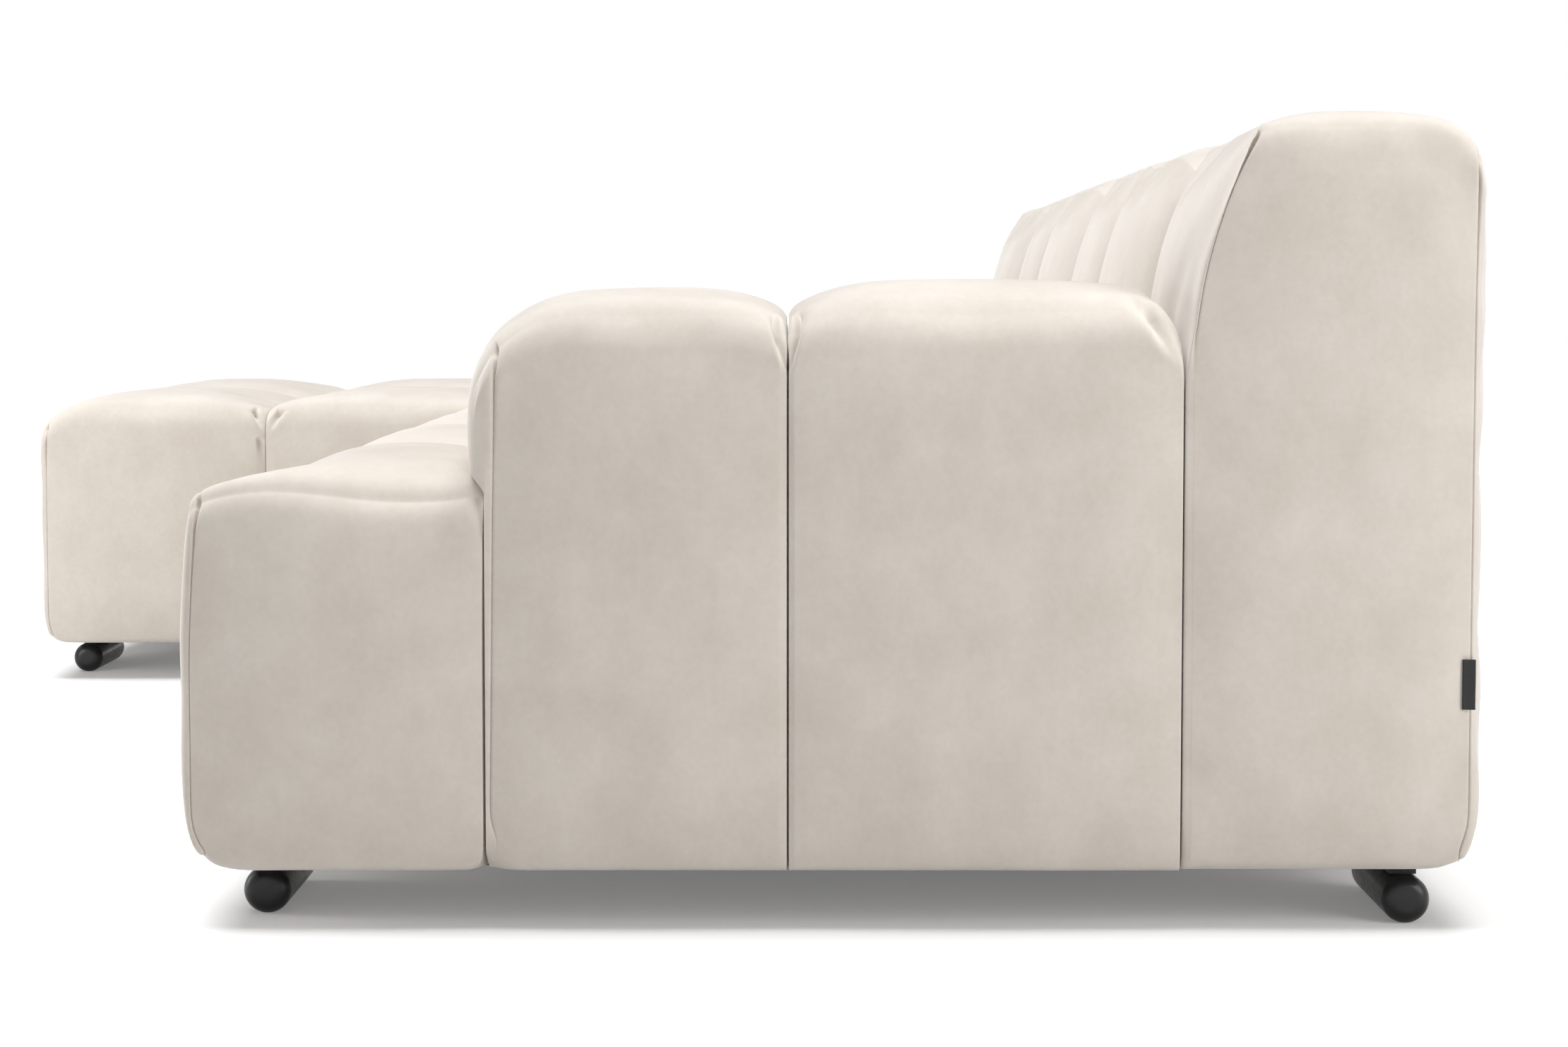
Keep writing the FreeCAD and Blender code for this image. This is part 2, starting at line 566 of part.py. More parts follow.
def make_chaise():
    near_x = CHAISE_CORE_NEAR - 1.0
    far_x = -CORE_END + 1.0
    front_y = CHAISE_CORE_FRONT + 1.0
    rear_y = CORE_REAR - 1.0
    front_feet = [(-620.0, CHAISE_FRONT_FOOT_Y), (-1260.0, CHAISE_FRONT_FOOT_Y)]
    rear_feet = [(-620.0, REAR_FOOT_Y), (-1260.0, REAR_FOOT_Y)]
    feet = front_feet + rear_feet

    save("chaise_pad", chaise_pad())
    save("chaise_back_pad", back_pad(shares(-END_X, JOIN_X - JOIN_GAP, CHAISE_CHANNELS), True, False))

    screw_heights = (115.0, 175.0)
    plate_face = near_x + HOOK_PLATE
    screws = hook_screws(plate_face, -1, screw_heights)
    lip = JOIN_X - 8.0
    down_hook = [((plate_face, 100),), ((plate_face, 152),), ((lip, 152),), ((lip, 110),),
                 ((lip + HOOK_PLATE, 110),), ((lip + HOOK_PLATE, 156),), ((plate_face, 156),),
                 ((plate_face, 190),), ((near_x, 190),), ((near_x, 100),)]
    save("chaise_hooks", group(hooks((near_x, 100), down_hook, screws)))
    save("chaise_hook_screws", group(screws))

    rails = (RAIL_BOTTOM, RAIL_TOP)
    front_rail = box(far_x, near_x, front_y, front_y + RAIL, *rails)
    save("chaise_front_rail", drilled(front_rail, front_feet, RAIL_BOTTOM - 1, BOLT_TOP + 2))
    rear_rail = box(far_x, near_x, rear_y - RAIL, rear_y, *rails)
    save("chaise_rear_rail", drilled(rear_rail, rear_feet, RAIL_BOTTOM - 1, BOLT_TOP + 2))
    inner = (front_y + RAIL + FIT, rear_y - RAIL - FIT)
    near_rail = holed(box(near_x - RAIL, near_x, *inner, *rails), screws)
    far_rail = box(far_x, far_x + RAIL, *inner, *rails)
    save("chaise_end_rails", group([near_rail, far_rail]))
    span = (far_x + RAIL + FIT, near_x - RAIL - FIT)
    cross_low = (RAIL_BOTTOM, RAIL_TOP - 45)
    cross = [box(*span, y, y + CROSS, *cross_low) for y in (-300.0, 240.0)]
    save("chaise_cross_rails", group(cross))
    blocks = [corner_block(span[1], inner[0], -1, 1), corner_block(span[1], inner[1], -1, -1),
              corner_block(span[0], inner[0], 1, 1), corner_block(span[0], inner[1], 1, -1)]
    save("chaise_corner_blocks", group(blocks))

    spring, run = sinuous(near_x - far_x - RAIL + 30)
    first_x = (near_x + far_x + run) / 2
    pitch = (BACK_FRONT - front_y - RAIL) / SPRINGS
    places = [front_y + RAIL + pitch * (i + 0.5) for i in range(SPRINGS)]
    save("chaise_springs", group(moved(spring, first_x, y, SPRING_Z, 90.0) for y in places))
    clips = [moved(clip(bar), first_x, y, SPRING_Z, 90.0) for y in places for bar in (0.0, run)]
    save("chaise_spring_clips", group(clips))
    deck = (far_x, near_x, front_y, BACK_FRONT - 3)
    save("chaise_deck_felt", box(*deck, FELT_BOTTOM, FELT_BOTTOM + FELT))
    save("chaise_seat_foam", box(*deck, FELT_BOTTOM + FELT + FIT, FOAM_TOP - 0.5))

    make_back("chaise", far_x + 32, near_x + 10, (-1320.0, -920.0, -540.0))
    make_feet("chaise", feet, ("front_near", "front_far", "rear_near", "rear_far"))
    sheet = box(far_x, near_x, front_y, rear_y, UNDERSIDE + 0.3, UNDERSIDE + 1.2)
    save("chaise_dust_cover", drilled(sheet, feet, UNDERSIDE, UNDERSIDE + 2))


os.makedirs("parts", exist_ok=True)
make_sofa()
make_chaise()
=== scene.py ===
import json
import math

import bpy
import numpy as np
from bpy.props import FloatProperty, FloatVectorProperty, PointerProperty
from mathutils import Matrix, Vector
from mathutils.kdtree import KDTree


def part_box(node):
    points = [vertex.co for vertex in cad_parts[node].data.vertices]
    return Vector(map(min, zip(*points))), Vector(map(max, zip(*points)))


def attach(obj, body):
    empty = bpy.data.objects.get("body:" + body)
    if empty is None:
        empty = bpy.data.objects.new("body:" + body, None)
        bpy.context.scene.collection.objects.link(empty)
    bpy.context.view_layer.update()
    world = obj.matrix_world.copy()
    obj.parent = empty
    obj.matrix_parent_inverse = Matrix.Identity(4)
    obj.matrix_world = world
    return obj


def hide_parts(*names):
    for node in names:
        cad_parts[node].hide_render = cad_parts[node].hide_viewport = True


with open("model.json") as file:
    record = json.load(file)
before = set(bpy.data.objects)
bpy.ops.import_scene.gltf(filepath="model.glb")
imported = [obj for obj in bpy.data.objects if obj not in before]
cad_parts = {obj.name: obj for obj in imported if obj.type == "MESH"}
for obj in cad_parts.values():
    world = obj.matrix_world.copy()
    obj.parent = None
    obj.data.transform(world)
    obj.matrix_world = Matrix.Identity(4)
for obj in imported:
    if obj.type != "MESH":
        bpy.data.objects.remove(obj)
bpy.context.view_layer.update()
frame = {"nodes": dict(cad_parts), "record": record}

bl_info = {
    "name": "Lounge sofa with chaise",
    "version": (1, 0, 0),
    "blender": (4, 5, 0),
    "location": "View3D > Sidebar > Sofa",
    "description": "Velvet covers, feet and fittings of a two-unit lounge sofa",
    "category": "Object",
}

MM = 0.001
NODES = frame["nodes"]

SOFA_UNIT, CHAISE_UNIT = "sofa_unit", "chaise_unit"
UNITS = (("sofa", SOFA_UNIT), ("chaise", CHAISE_UNIT))
X, Y, Z = 0, 1, 2
TOP, FRONT, REAR, NEAR_END, FAR_END = (Z, 1), (Y, -1), (Y, 1), (X, 1), (X, -1)
SOFT, SEWN, END_SEAM = 0, 1, 2  # how a cover is drawn in along a line

# Places of the covers, in millimetres
NEAR_X, FAR_X = 1400.0, -1400.0  # the sofa's ends
BACK_ENDS = (-1390.0, 1390.0)  # the back's ends before they bulge
SOFA_JOIN, CHAISE_JOIN = -444.6, -445.4  # where the two units meet
CHANNEL_SEAMS = (14.9, 473.3, 931.6)  # seams across the sofa unit
CHAISE_SEAM = -918.5  # seam along the chaise
DEEP_SEAMS = (CHANNEL_SEAMS[0], CHANNEL_SEAMS[2], CHAISE_SEAM)
BASE_Z, SEAT_Z = 50.0, 404.0  # under the covers, and the seat's crest
SEAT_ROWS = (-25.0, 234.0, 574.0)
CHAISE_ROWS = (-509.0, -148.0, 214.0, 574.0)
ARM_INNER = 1137.0  # the arm's side by the seat
ARM_SEAM = (233.9, 234.1)  # edges of the arm's two strips
HOOK_PLACES = (30.0, 480.0)  # Y of the hooks between the units
HOOK_ROOM = 22.0  # depth of the chaise cover's recess round each hook

# How the covers are cut, in millimetres
SEAM_STEP, PLAIN_STEP, CLOTH_STEP = 1.0, 7.0, 17.0  # mesh steps at a seam, at a plain edge and of the cloth
STEP_GROWTH = 1.85  # from one mesh step to the next
CLOTH_FRAMES = 20  # steps in which the cloth settles
SPARE_SHARE = 0.6  # of the swell, taken off before the cloth settles
SLIGHT_ROUND = 2.0  # an edge that is hardly rounded
END_BULGE = 9.0  # of the back's open ends
END_DRAW = (2.0, 20.0)  # drop and reach of an end seam
END_POCKET = (8.0, 26.0, 1.8)  # depth, length and width at the top of an end seam
TUCK_REACH, POCKET_REACH = 40, 60  # how far in from an end they show

# Heights of a foot's axis and of its flat top, in metres
FOOT_AXIS, FOOT_TOP = 0.0206, 0.040
CAMERA_TURN = math.radians(90.11)


# ---- settings

class SofaCoverSettings(bpy.types.PropertyGroup):
    velvet: FloatVectorProperty(
        name="Velvet", description="Colour of the pile under even light", subtype="COLOR",
        min=0.0, max=1.0, default=(0.694, 0.639, 0.577))
    shaded_nap: FloatVectorProperty(
        name="Shaded nap", description="Colour where the pile is brushed away", subtype="COLOR",
        min=0.0, max=1.0, default=(0.632, 0.575, 0.512))
    seam_groove: FloatProperty(
        name="Seam groove", description="Depth of the narrow groove right at a seam",
        unit="LENGTH", default=0.0018)
    pressure: FloatProperty(
        name="Filling pressure", description="How hard the filling swells the covers", default=1.3)
    slack: FloatProperty(
        name="Cloth slack", description="Spare cloth that puckers at the seams",
        subtype="FACTOR", default=0.02)
    swell_limit: FloatProperty(
        name="Swell limit", description="Furthest that the cloth may move as it settles",
        unit="LENGTH", default=0.012)
    stitch_pitch: FloatProperty(
        name="Stitch pitch", description="Distance from one stitch to the next", unit="LENGTH", default=0.006)


class SofaFittingSettings(bpy.types.PropertyGroup):
    foot_radius: FloatProperty(
        name="Foot radius", description="Radius of the lying cylinders", unit="LENGTH", default=0.021)
    foot_length: FloatProperty(
        name="Foot length", description="Length of the lying cylinders", unit="LENGTH", default=0.170)
    foot_end: FloatProperty(
        name="Foot end round", description="Rounding of a foot's ends", unit="LENGTH", default=0.012)
    foot_black: FloatVectorProperty(
        name="Foot black", description="Satin lacquer of the feet", subtype="COLOR",
        min=0.0, max=1.0, default=(0.012, 0.012, 0.013))
    staple_pitch: FloatProperty(
        name="Staple pitch", description="Distance between the dust covers' staples",
        unit="LENGTH", default=0.045)


class SofaStageSettings(bpy.types.PropertyGroup):
    lens: FloatProperty(
        name="Lens", description="Focal length on a 36 mm sensor", default=74.4)
    camera_place: FloatVectorProperty(
        name="Camera place", description="Where the camera stands", subtype="XYZ",
        unit="LENGTH", size=3, default=(4.145, 0.236, 0.542))
    camera_pitch: FloatProperty(
        name="Camera pitch", description="How far the camera looks down", subtype="ANGLE",
        default=math.radians(3.98))
    key_power: FloatProperty(
        name="Key light", description="Strength of the soft light overhead", default=4.12)
    fill_power: FloatProperty(
        name="Fill light", description="Power of the soft light at the rear right", default=42.0)
    sky: FloatProperty(
        name="Sky light", description="Even light from all round", default=0.17)


# ---- meshes

def link(name, mesh):
    """A new object of this mesh, in the scene."""
    piece = bpy.data.objects.new(name, mesh)
    bpy.context.scene.collection.objects.link(piece)
    return piece


def mesh_of(name, points, faces):
    """A smooth-shaded mesh of these points and faces."""
    mesh = bpy.data.meshes.new(name)
    mesh.from_pydata([tuple(p) for p in points], [], [tuple(f) for f in faces])
    mesh.update()
    mesh.polygons.foreach_set("use_smooth", [True] * len(mesh.polygons))
    return mesh


def values_of(data, key, width, kind=float):
    """Values of a mesh's points or edges, a row for each."""
    values = np.zeros(len(data) * width, kind)
    data.foreach_get(key, values)
    return values.reshape(-1, width)


def half_run(half, first, coarse):
    """Distances from one end of a channel to its middle, widening as they go."""
    steps, total = [], 0.0
    while total < half:
        steps.append(first)
        total += first
        first = min(first * STEP_GROWTH, coarse)
    return np.cumsum(steps) * half / total


def stations(knots, close, coarse):
    """Places along one axis, close together at its seams and wider between."""
    places = [knots[0]]
    for a, b in zip(knots, knots[1:]):
        left, right = (half_run((b - a) / 2, SEAM_STEP if k in close else PLAIN_STEP, coarse) for k in (a, b))
        places += list(a + left) + list(b - right[-2::-1]) + [b]
    return np.array(places)


def even_stations(knots, step):
    """Places along one axis at about even steps, with every knot among them."""
    places = [knots[0]]
    for a, b in zip(knots, knots[1:]):
        places += list(np.linspace(a, b, max(2, round((b - a) / step) + 1))[1:])
    return np.array(places)


def smooth_reader(fine, coarse):
    """Weights that read smooth values at fine places from those at coarse ones."""
    at = np.interp(fine, coarse, np.arange(len(coarse)))
    low = np.clip(at.astype(int), 0, len(coarse) - 2)
    f = at - low
    weights = np.zeros((len(fine), len(coarse)))
    shares = (-0.5 * f + f ** 2 - 0.5 * f ** 3, 1 - 2.5 * f ** 2 + 1.5 * f ** 3,
              0.5 * f + 2 * f ** 2 - 1.5 * f ** 3, -0.5 * f ** 2 + 0.5 * f ** 3)
    for step, share in zip((-1, 0, 1, 2), shares):
        np.add.at(weights, (np.arange(len(fine)), np.clip(low + step, 0, len(coarse) - 1)), share)
    return weights


def box_skin(xs, ys, zs):
    """Points, lattice numbers and outward quads of a closed box skin."""
    skin = np.zeros((len(xs), len(ys), len(zs)), bool)
    skin[[0, -1]] = True
    skin[:, [0, -1]] = True
    skin[:, :, [0, -1]] = True
    number = np.full(skin.shape, -1)
    number[skin] = np.arange(skin.sum())
    points = np.stack(np.meshgrid(xs, ys, zs, indexing="ij"), -1)[skin]
    quads = []
    for side, turned in ((number[:, :, -1], False), (number[:, :, 0], True),
                         (number[-1], False), (number[0], True),
                         (number[:, 0], False), (number[:, -1], True)):
        q = np.stack([side[:-1, :-1], side[1:, :-1], side[1:, 1:], side[:-1, 1:]], -1).reshape(-1, 4)
        quads.append(q[:, ::-1] if turned else q)
    return points, np.argwhere(skin), np.concatenate(quads)


def outward(index):
    """Which way each point of a box skin faces, an axis at a time."""
    last = index.max(0)
    return (index == last).astype(float) - (index == 0)


def round_edge(points, facing, axes, at, signs, radius):
    """Rounds one edge of a box skin, seen along the third axis."""
    a, b = axes
    centre = [at[i] - signs[i] * radius for i in (0, 1)]
    da = signs[0] * (points[:, a] - centre[0]) / radius
    db = signs[1] * (points[:, b] - centre[1]) / radius
    zone = (da > 0) & (db > 0)
    length = np.maximum(np.hypot(da, db), 1e-9)
    share = np.maximum(da, db) / length
    for axis, d, c, sign in ((a, da, centre[0], signs[0]), (b, db, centre[1], signs[1])):
        points[:, axis] = np.where(zone, c + sign * radius * d * share, points[:, axis])
        rim = zone & (np.maximum(da, db) > 0.999)
        facing[:, axis] = np.where(rim, sign * d / length, facing[:, axis])


def valley(s, place, drop, reach):
    """How far a cover is drawn in along one axis: deepest on its line, nothing past its reach."""
    t = np.clip(np.abs(s - place) / reach, 0, 1)
    return drop * (1 - np.sqrt(1 - (1 - t) ** 2))


def rising(s, start, reach):
    """Rises evenly from nothing at its start to one past its reach."""
    return np.clip((s - start) / reach, 0, 1)


def eased(s, start, reach):
    """Rises smoothly from nothing at its start to one past its reach."""
    t = rising(s, start, reach)
    return t * t * (3 - 2 * t)


def falling(s, end, reach):
    """Falls evenly from one to nothing at its end."""
    return np.clip((end - s) / reach, 0, 1)


# ---- cloth

def swell(piece, held, pressure, slack, limit):
    """How each point moves as a cover swells as cloth with its seams held."""
    scene = bpy.context.scene
    sewn = piece.vertex_groups.new(name="sewn")
    sewn.add([int(i) for i in held], 1.0, "REPLACE")
    cloth = piece.modifiers.new("swell", "CLOTH")
    s = cloth.settings
    s.quality = 5
    s.mass = 0.15
    s.tension_stiffness = s.compression_stiffness = 20.0
    s.shear_stiffness = 8.0
    s.bending_stiffness = 0.6
    s.vertex_group_mass = "sewn"
    s.use_pressure = True
    s.uniform_pressure_force = pressure
    s.shrink_min = -slack
    s.effector_weights.gravity = 0.0
    cloth.collision_settings.use_collision = False
    for number in range(1, CLOTH_FRAMES + 1):
        scene.frame_set(number)
    settled = piece.evaluated_get(bpy.context.evaluated_depsgraph_get()).to_mesh()
    move = (values_of(settled.vertices, "co", 3) - values_of(piece.data.vertices, "co", 3)) / MM
    scene.frame_set(1)
    far = np.maximum(np.linalg.norm(move, axis=1), 1e-9)
    return move * (limit * np.tanh(far / limit) / far)[:, None]


def evened(move, faces, held, passes):
    """The movement averaged with its neighbours', so that the cover swells without dents."""
    pairs = np.concatenate([faces[:, [a, (a + 1) % 4]] for a in range(4)])
    count = np.bincount(pairs.ravel(), minlength=len(move))[:, None]
    for _ in range(passes):
        total = np.zeros_like(move)
        np.add.at(total, pairs[:, 0], move[pairs[:, 1]])
        np.add.at(total, pairs[:, 1], move[pairs[:, 0]])
        move = np.where(held[:, None], 0.0, 0.5 * move + 0.5 * total / count)
    return move


def press_tucks(piece, sewn, groove, tucks, ends):
    """Draws the seams in, and folds the cloth along short lines with a small lip on each side."""
    vertices = piece.data.vertices
    points, normals = values_of(vertices, "co", 3) / MM, values_of(vertices, "normal", 3)
    move = np.where(sewn, -groove / MM, 0.0)
    flat = points[:, 1:]
    for start, end, width, depth in tucks:
        a, b = np.array(start[1:], float), np.array(end[1:], float)
        along = b - a
        t = np.clip((flat - a) @ along / (along @ along), 0, 1)
        d = np.linalg.norm(flat - a - t[:, None] * along, axis=1)
        ease = (1 - t) * (np.abs(points[:, X] - end[X]) < TUCK_REACH)
        fold, lip = np.exp(-(d / width) ** 2), np.exp(-((d - 1.9 * width) / width) ** 2)
        move += 1.15 * ease * depth * (0.15 * lip - fold)
    for seam in ends:
        move -= pocket(points, points[seam], *END_POCKET)
    vertices.foreach_set("co", ((points + normals * move[:, None]) * MM).ravel())
    piece.data.update()


def pocket(points, seam, depth, length, width):
    """How far a cover is drawn in along an end seam, deepest at the seam's top."""
    top = seam[:, Z].max()
    tree = KDTree(len(seam))
    for number, place in enumerate(seam):
        tree.insert(place, number)
    tree.balance()
    near = np.abs(points[:, X] - seam[:, X].mean()) < POCKET_REACH
    drawn = np.zeros(len(points))
    for i in np.flatnonzero(near & (points[:, Z] > top - 4 * length)):
        place, _, gap = tree.find(points[i])
        drawn[i] = depth * math.exp(-(top - place[Z]) / length - (gap / width) ** 2)
    return drawn


SEWN_LINES = {SOFA_UNIT: [], CHAISE_UNIT: []}


def keep_sewn_lines(piece, sewn, body):
    """Remembers where a cover's seams run, for the stitches."""
    pairs = values_of(piece.data.edges, "vertices", 2, int)
    SEWN_LINES[body].append((values_of(piece.data.vertices, "co", 3), pairs[sewn[pairs].all(1)]))


def stand_in(piece, body, node, slot):
    """Gives a piece its finish and the body it moves with, and hides the node that it stands for."""
    piece.data.materials.append(finish_of(slot))
    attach(piece, body)
    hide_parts(node)


def finish_cover(piece, creases, body, node):
    """Sharp sewn lines, one smooth subdivision, and velvet."""
    crease = piece.data.attributes.new("crease_edge", "FLOAT", "EDGE")
    both = creases[values_of(piece.data.edges, "vertices", 2, int)].all(1)
    crease.data.foreach_set("value", both.astype(float) * 0.9)
    smooth = piece.modifiers.new("smooth", "SUBSURF")
    smooth.levels = smooth.render_levels = 1
    stand_in(piece, body, node, "velvet")


class Pattern:
    """How one padded cover is cut.

    knots: places along each axis. rounds: axes, signs and radius of each rounded edge.
    lines: side, axis, place, drop, reach and kind of each drawn-in line, and its lowest height.
    held: tells which points stay. bend: moves the points last of all.
    tucks: start, end, width and depth of each short fold. extra: knots with a close mesh.
    """

    def __init__(self, knots, rounds, lines, held, bend=None, tucks=(), extra=((), (), ())):
        self.knots = [sorted({*k, *e}) for k, e in zip(knots, extra)]
        self.rounds, self.lines, self.held, self.bend, self.tucks = rounds, lines, held, bend, tucks
        self.close = [set(e) for e in extra]
        for _, axis, place, _, _, kind, *_ in lines:
            if kind != SOFT:
                self.close[axis].add(place)

    def formed(self, places, spare):
        """Points, lattice numbers, quads, sewn points and held points at these places."""
        points, index, quads = box_skin(*places)
        facing, flat = outward(index), points.copy()
        limits = [(line[0], line[-1]) for line in places]
        for axes, signs, radius in self.rounds:
            at = [limits[a][0 if s < 0 else 1] for a, s in zip(axes, signs)]
            round_edge(points, facing, axes, at, signs, radius(flat) if callable(radius) else radius)
        sewn = np.zeros(len(points), bool)
        self.ends, depths = [], {}
        for side, axis, place, drop, reach, kind, *low in self.lines:
            depth = valley(flat[:, axis], place, drop, reach)
            shown = flat[:, Z] > low[0] if low else True
            if kind != SOFT:
                here = facing[:, side[0]] * side[1] > (0.05 if kind == SEWN else 0.6)
                here &= np.isclose(flat[:, axis], place, atol=0.01) & shown
                sewn |= here
                if kind == END_SEAM:
                    self.ends.append(here)
            depths[side] = np.hypot(depths.get(side, spare * (0.4 if side[0] == X else 1.0)), depth * shown)
        for (axis, sign), depth in depths.items():
            edge = limits[axis][0 if sign < 0 else 1]
            span = limits[axis][1] - limits[axis][0]
            fade = min(200.0, 0.85 * span) if axis == Z else min(90.0, 0.45 * span)
            points[:, axis] -= sign * depth * np.clip(1 - np.abs(flat[:, axis] - edge) / fade, 0, 1)
        if self.bend:
            self.bend(points, flat, facing)
        self.pressed = sewn & (np.abs(outward(index)).max(1) > 0.9)
        return points, index, quads, sewn, sewn | self.held(flat, facing)


def sewn_cover(name, pattern, body, node, coarse=22.0, passes=8):
    """A padded cover: formed to its pattern, swollen as cloth, tucked, then smoothed."""
    covers = bpy.context.scene.sofa_covers
    places = [stations(k, c, coarse) for k, c in zip(pattern.knots, pattern.close)]
    spare = SPARE_SHARE * covers.swell_limit / MM
    points, index, quads, sewn = pattern.formed(places, spare)[:4]
    inside, ends = pattern.pressed, pattern.ends
    loose = [even_stations(k, CLOTH_STEP) for k in pattern.knots]
    cut, number, faces, _, held = pattern.formed(loose, spare)
    cloth = link(name + "_cloth", mesh_of(name + "_cloth", cut * MM, faces))
    move = swell(cloth, np.flatnonzero(held), covers.pressure, covers.slack, covers.swell_limit / MM)
    bpy.data.objects.remove(cloth)
    points += carried_over(evened(move, faces, held, passes), number, loose, index, places)
    piece = link(name, mesh_of(name, points * MM, quads))
    press_tucks(piece, inside, covers.seam_groove, pattern.tucks, ends)
    keep_sewn_lines(piece, sewn, body)
    finish_cover(piece, sewn, body, node)


def carried_over(move, number, loose, index, places):
    """The cloth's movement, read smoothly at the finer lattice's points."""
    known = np.zeros((*(len(line) for line in loose), 3))
    known[tuple(number.T)] = move
    read = [smooth_reader(f, c) for f, c in zip(places, loose)]
    out = np.zeros((*(len(line) for line in places), 3))
    for end in (0, -1):
        out[end] = np.einsum("bj,ck,jkd->bcd", read[1], read[2], known[end])
        out[:, end] = np.einsum("ai,ck,ikd->acd", read[0], read[2], known[:, end])
        out[:, :, end] = np.einsum("ai,bj,ijd->abd", read[0], read[1], known[:, :, end])
    return out[tuple(index.T)]


# ---- finishes

def cleared(owner, output):
    """An owner's node tree, with nothing in it but its output."""
    owner.use_nodes = True
    tree = owner.node_tree
    tree.nodes.clear()
    return tree, tree.nodes.new(output)


def new_material(name):
    """A finish with its node tree and shader, or only the finish where it is made already."""
    material = bpy.data.materials.get("sofa_" + name)
    if material:
        return material, None, None
    material = bpy.data.materials.new("sofa_" + name)
    tree, out = cleared(material, "ShaderNodeOutputMaterial")
    shader = tree.nodes.new("ShaderNodeBsdfPrincipled")
    tree.links.new(shader.outputs["BSDF"], out.inputs["Surface"])
    return material, tree, shader


def set_inputs(node, values):
    """Sets a node's inputs by name."""
    for key, value in values.items():
        node.inputs[key].default_value = value


def noise(tree, vector, scale, detail=2.0, roughness=0.5):
    """Noise at these places, from nothing to one."""
    node = tree.nodes.new("ShaderNodeTexNoise")
    set_inputs(node, {"Scale": scale, "Detail": detail, "Roughness": roughness})
    tree.links.new(vector, node.inputs["Vector"])
    return node.outputs["Fac"]


def ramp(tree, fac, stops):
    """A value turned into colours, from stop to stop."""
    node = tree.nodes.new("ShaderNodeValToRGB")
    while len(node.color_ramp.elements) < len(stops):
        node.color_ramp.elements.new(0.5)
    for element, (place, colour) in zip(node.color_ramp.elements, stops):
        element.position = place
        element.color = (*colour, 1.0)
    tree.links.new(fac, node.inputs["Fac"])
    return node.outputs["Color"]


def blended(tree, fac, a, b, mode="MIX"):
    """Two colours mixed, each given as a colour or a socket."""
    node = tree.nodes.new("ShaderNodeMix")
    node.data_type = "RGBA"
    node.blend_type = mode
    for socket, value in ((node.inputs["Factor"], fac), (node.inputs[6], a), (node.inputs[7], b)):
        if hasattr(value, "links"):
            tree.links.new(value, socket)
        else:
            socket.default_value = value if isinstance(value, float) else (*value, 1.0)
    return node.outputs[2]


def bumped(tree, shader, height, strength, distance):
    """Gives a shader fine relief."""
    node = tree.nodes.new("ShaderNodeBump")
    set_inputs(node, {"Strength": strength, "Distance": distance})
    tree.links.new(height, node.inputs["Height"])
    tree.links.new(node.outputs["Normal"], shader.inputs["Normal"])


def place_of(tree, stretch=(1.0, 1.0, 1.0)):
    """A point's place on its piece, stretched for grain."""
    where = tree.nodes.new("ShaderNodeTexCoord")
    mapping = tree.nodes.new("ShaderNodeMapping")
    mapping.inputs["Scale"].default_value = stretch
    tree.links.new(where.outputs["Object"], mapping.inputs["Vector"])
    return mapping.outputs["Vector"]


def velvet():
    """Short pile: brushed patches, soft sheen and a fine nap."""
    material, tree, shader = new_material("velvet")
    if tree is None:
        return material
    covers = bpy.context.scene.sofa_covers
    base, dark = tuple(covers.velvet), tuple(covers.shaded_nap)
    where = place_of(tree)
    patches = noise(tree, where, 13.0, 6.0, 0.62)
    brushed = noise(tree, place_of(tree, (9.0, 9.0, 3.0)), 2.2, 3.0, 0.6)
    fine = noise(tree, where, 160.0, 2.0)
    nap = ramp(tree, patches, [(0.34, (0, 0, 0)), (0.66, (1, 1, 1))])
    colour = blended(tree, nap, dark, base)
    for fac, low, high, tone in ((brushed, 0.35, 0.65, (0.972, 0.970, 0.967)),
                                 (fine, 0.3, 0.7, (0.965, 0.965, 0.965))):
        shade = ramp(tree, fac, [(low, tone), (high, (1.0, 1.0, 1.0))])
        colour = blended(tree, 1.0, colour, shade, "MULTIPLY")
    tree.links.new(colour, shader.inputs["Base Color"])
    set_inputs(shader, {"Roughness": 0.9, "Specular IOR Level": 0.15, "Sheen Weight": 0.55,
                        "Sheen Roughness": 0.45, "Sheen Tint": (1.0, 0.99, 0.98, 1.0)})
    bumped(tree, shader, noise(tree, where, 900.0, 3.0, 0.6), 0.25, 0.0006)
    return material


def plain_finish(name, light, dark, scale, roughness, metallic=0.0, stretch=(1, 1, 1), bump=0.1, coat=0.0,
                 gloss=0.5):
    """A finish with two tones, a fine grain and its own gloss."""
    material, tree, shader = new_material(name)
    if tree is None:
        return material
    where = place_of(tree, stretch)
    grain = noise(tree, where, scale, 5.0, 0.6)
    tree.links.new(ramp(tree, grain, [(0.3, dark), (0.7, light)]), shader.inputs["Base Color"])
    spread = ramp(tree, noise(tree, where, scale * 3, 2.0),
                  [(0.3, (roughness - 0.06,) * 3), (0.7, (roughness + 0.06,) * 3)])
    tree.links.new(spread, shader.inputs["Roughness"])
    set_inputs(shader, {"Metallic": metallic, "Coat Weight": coat, "Specular IOR Level": gloss})
    bumped(tree, shader, grain, bump, 0.0008)
    return material


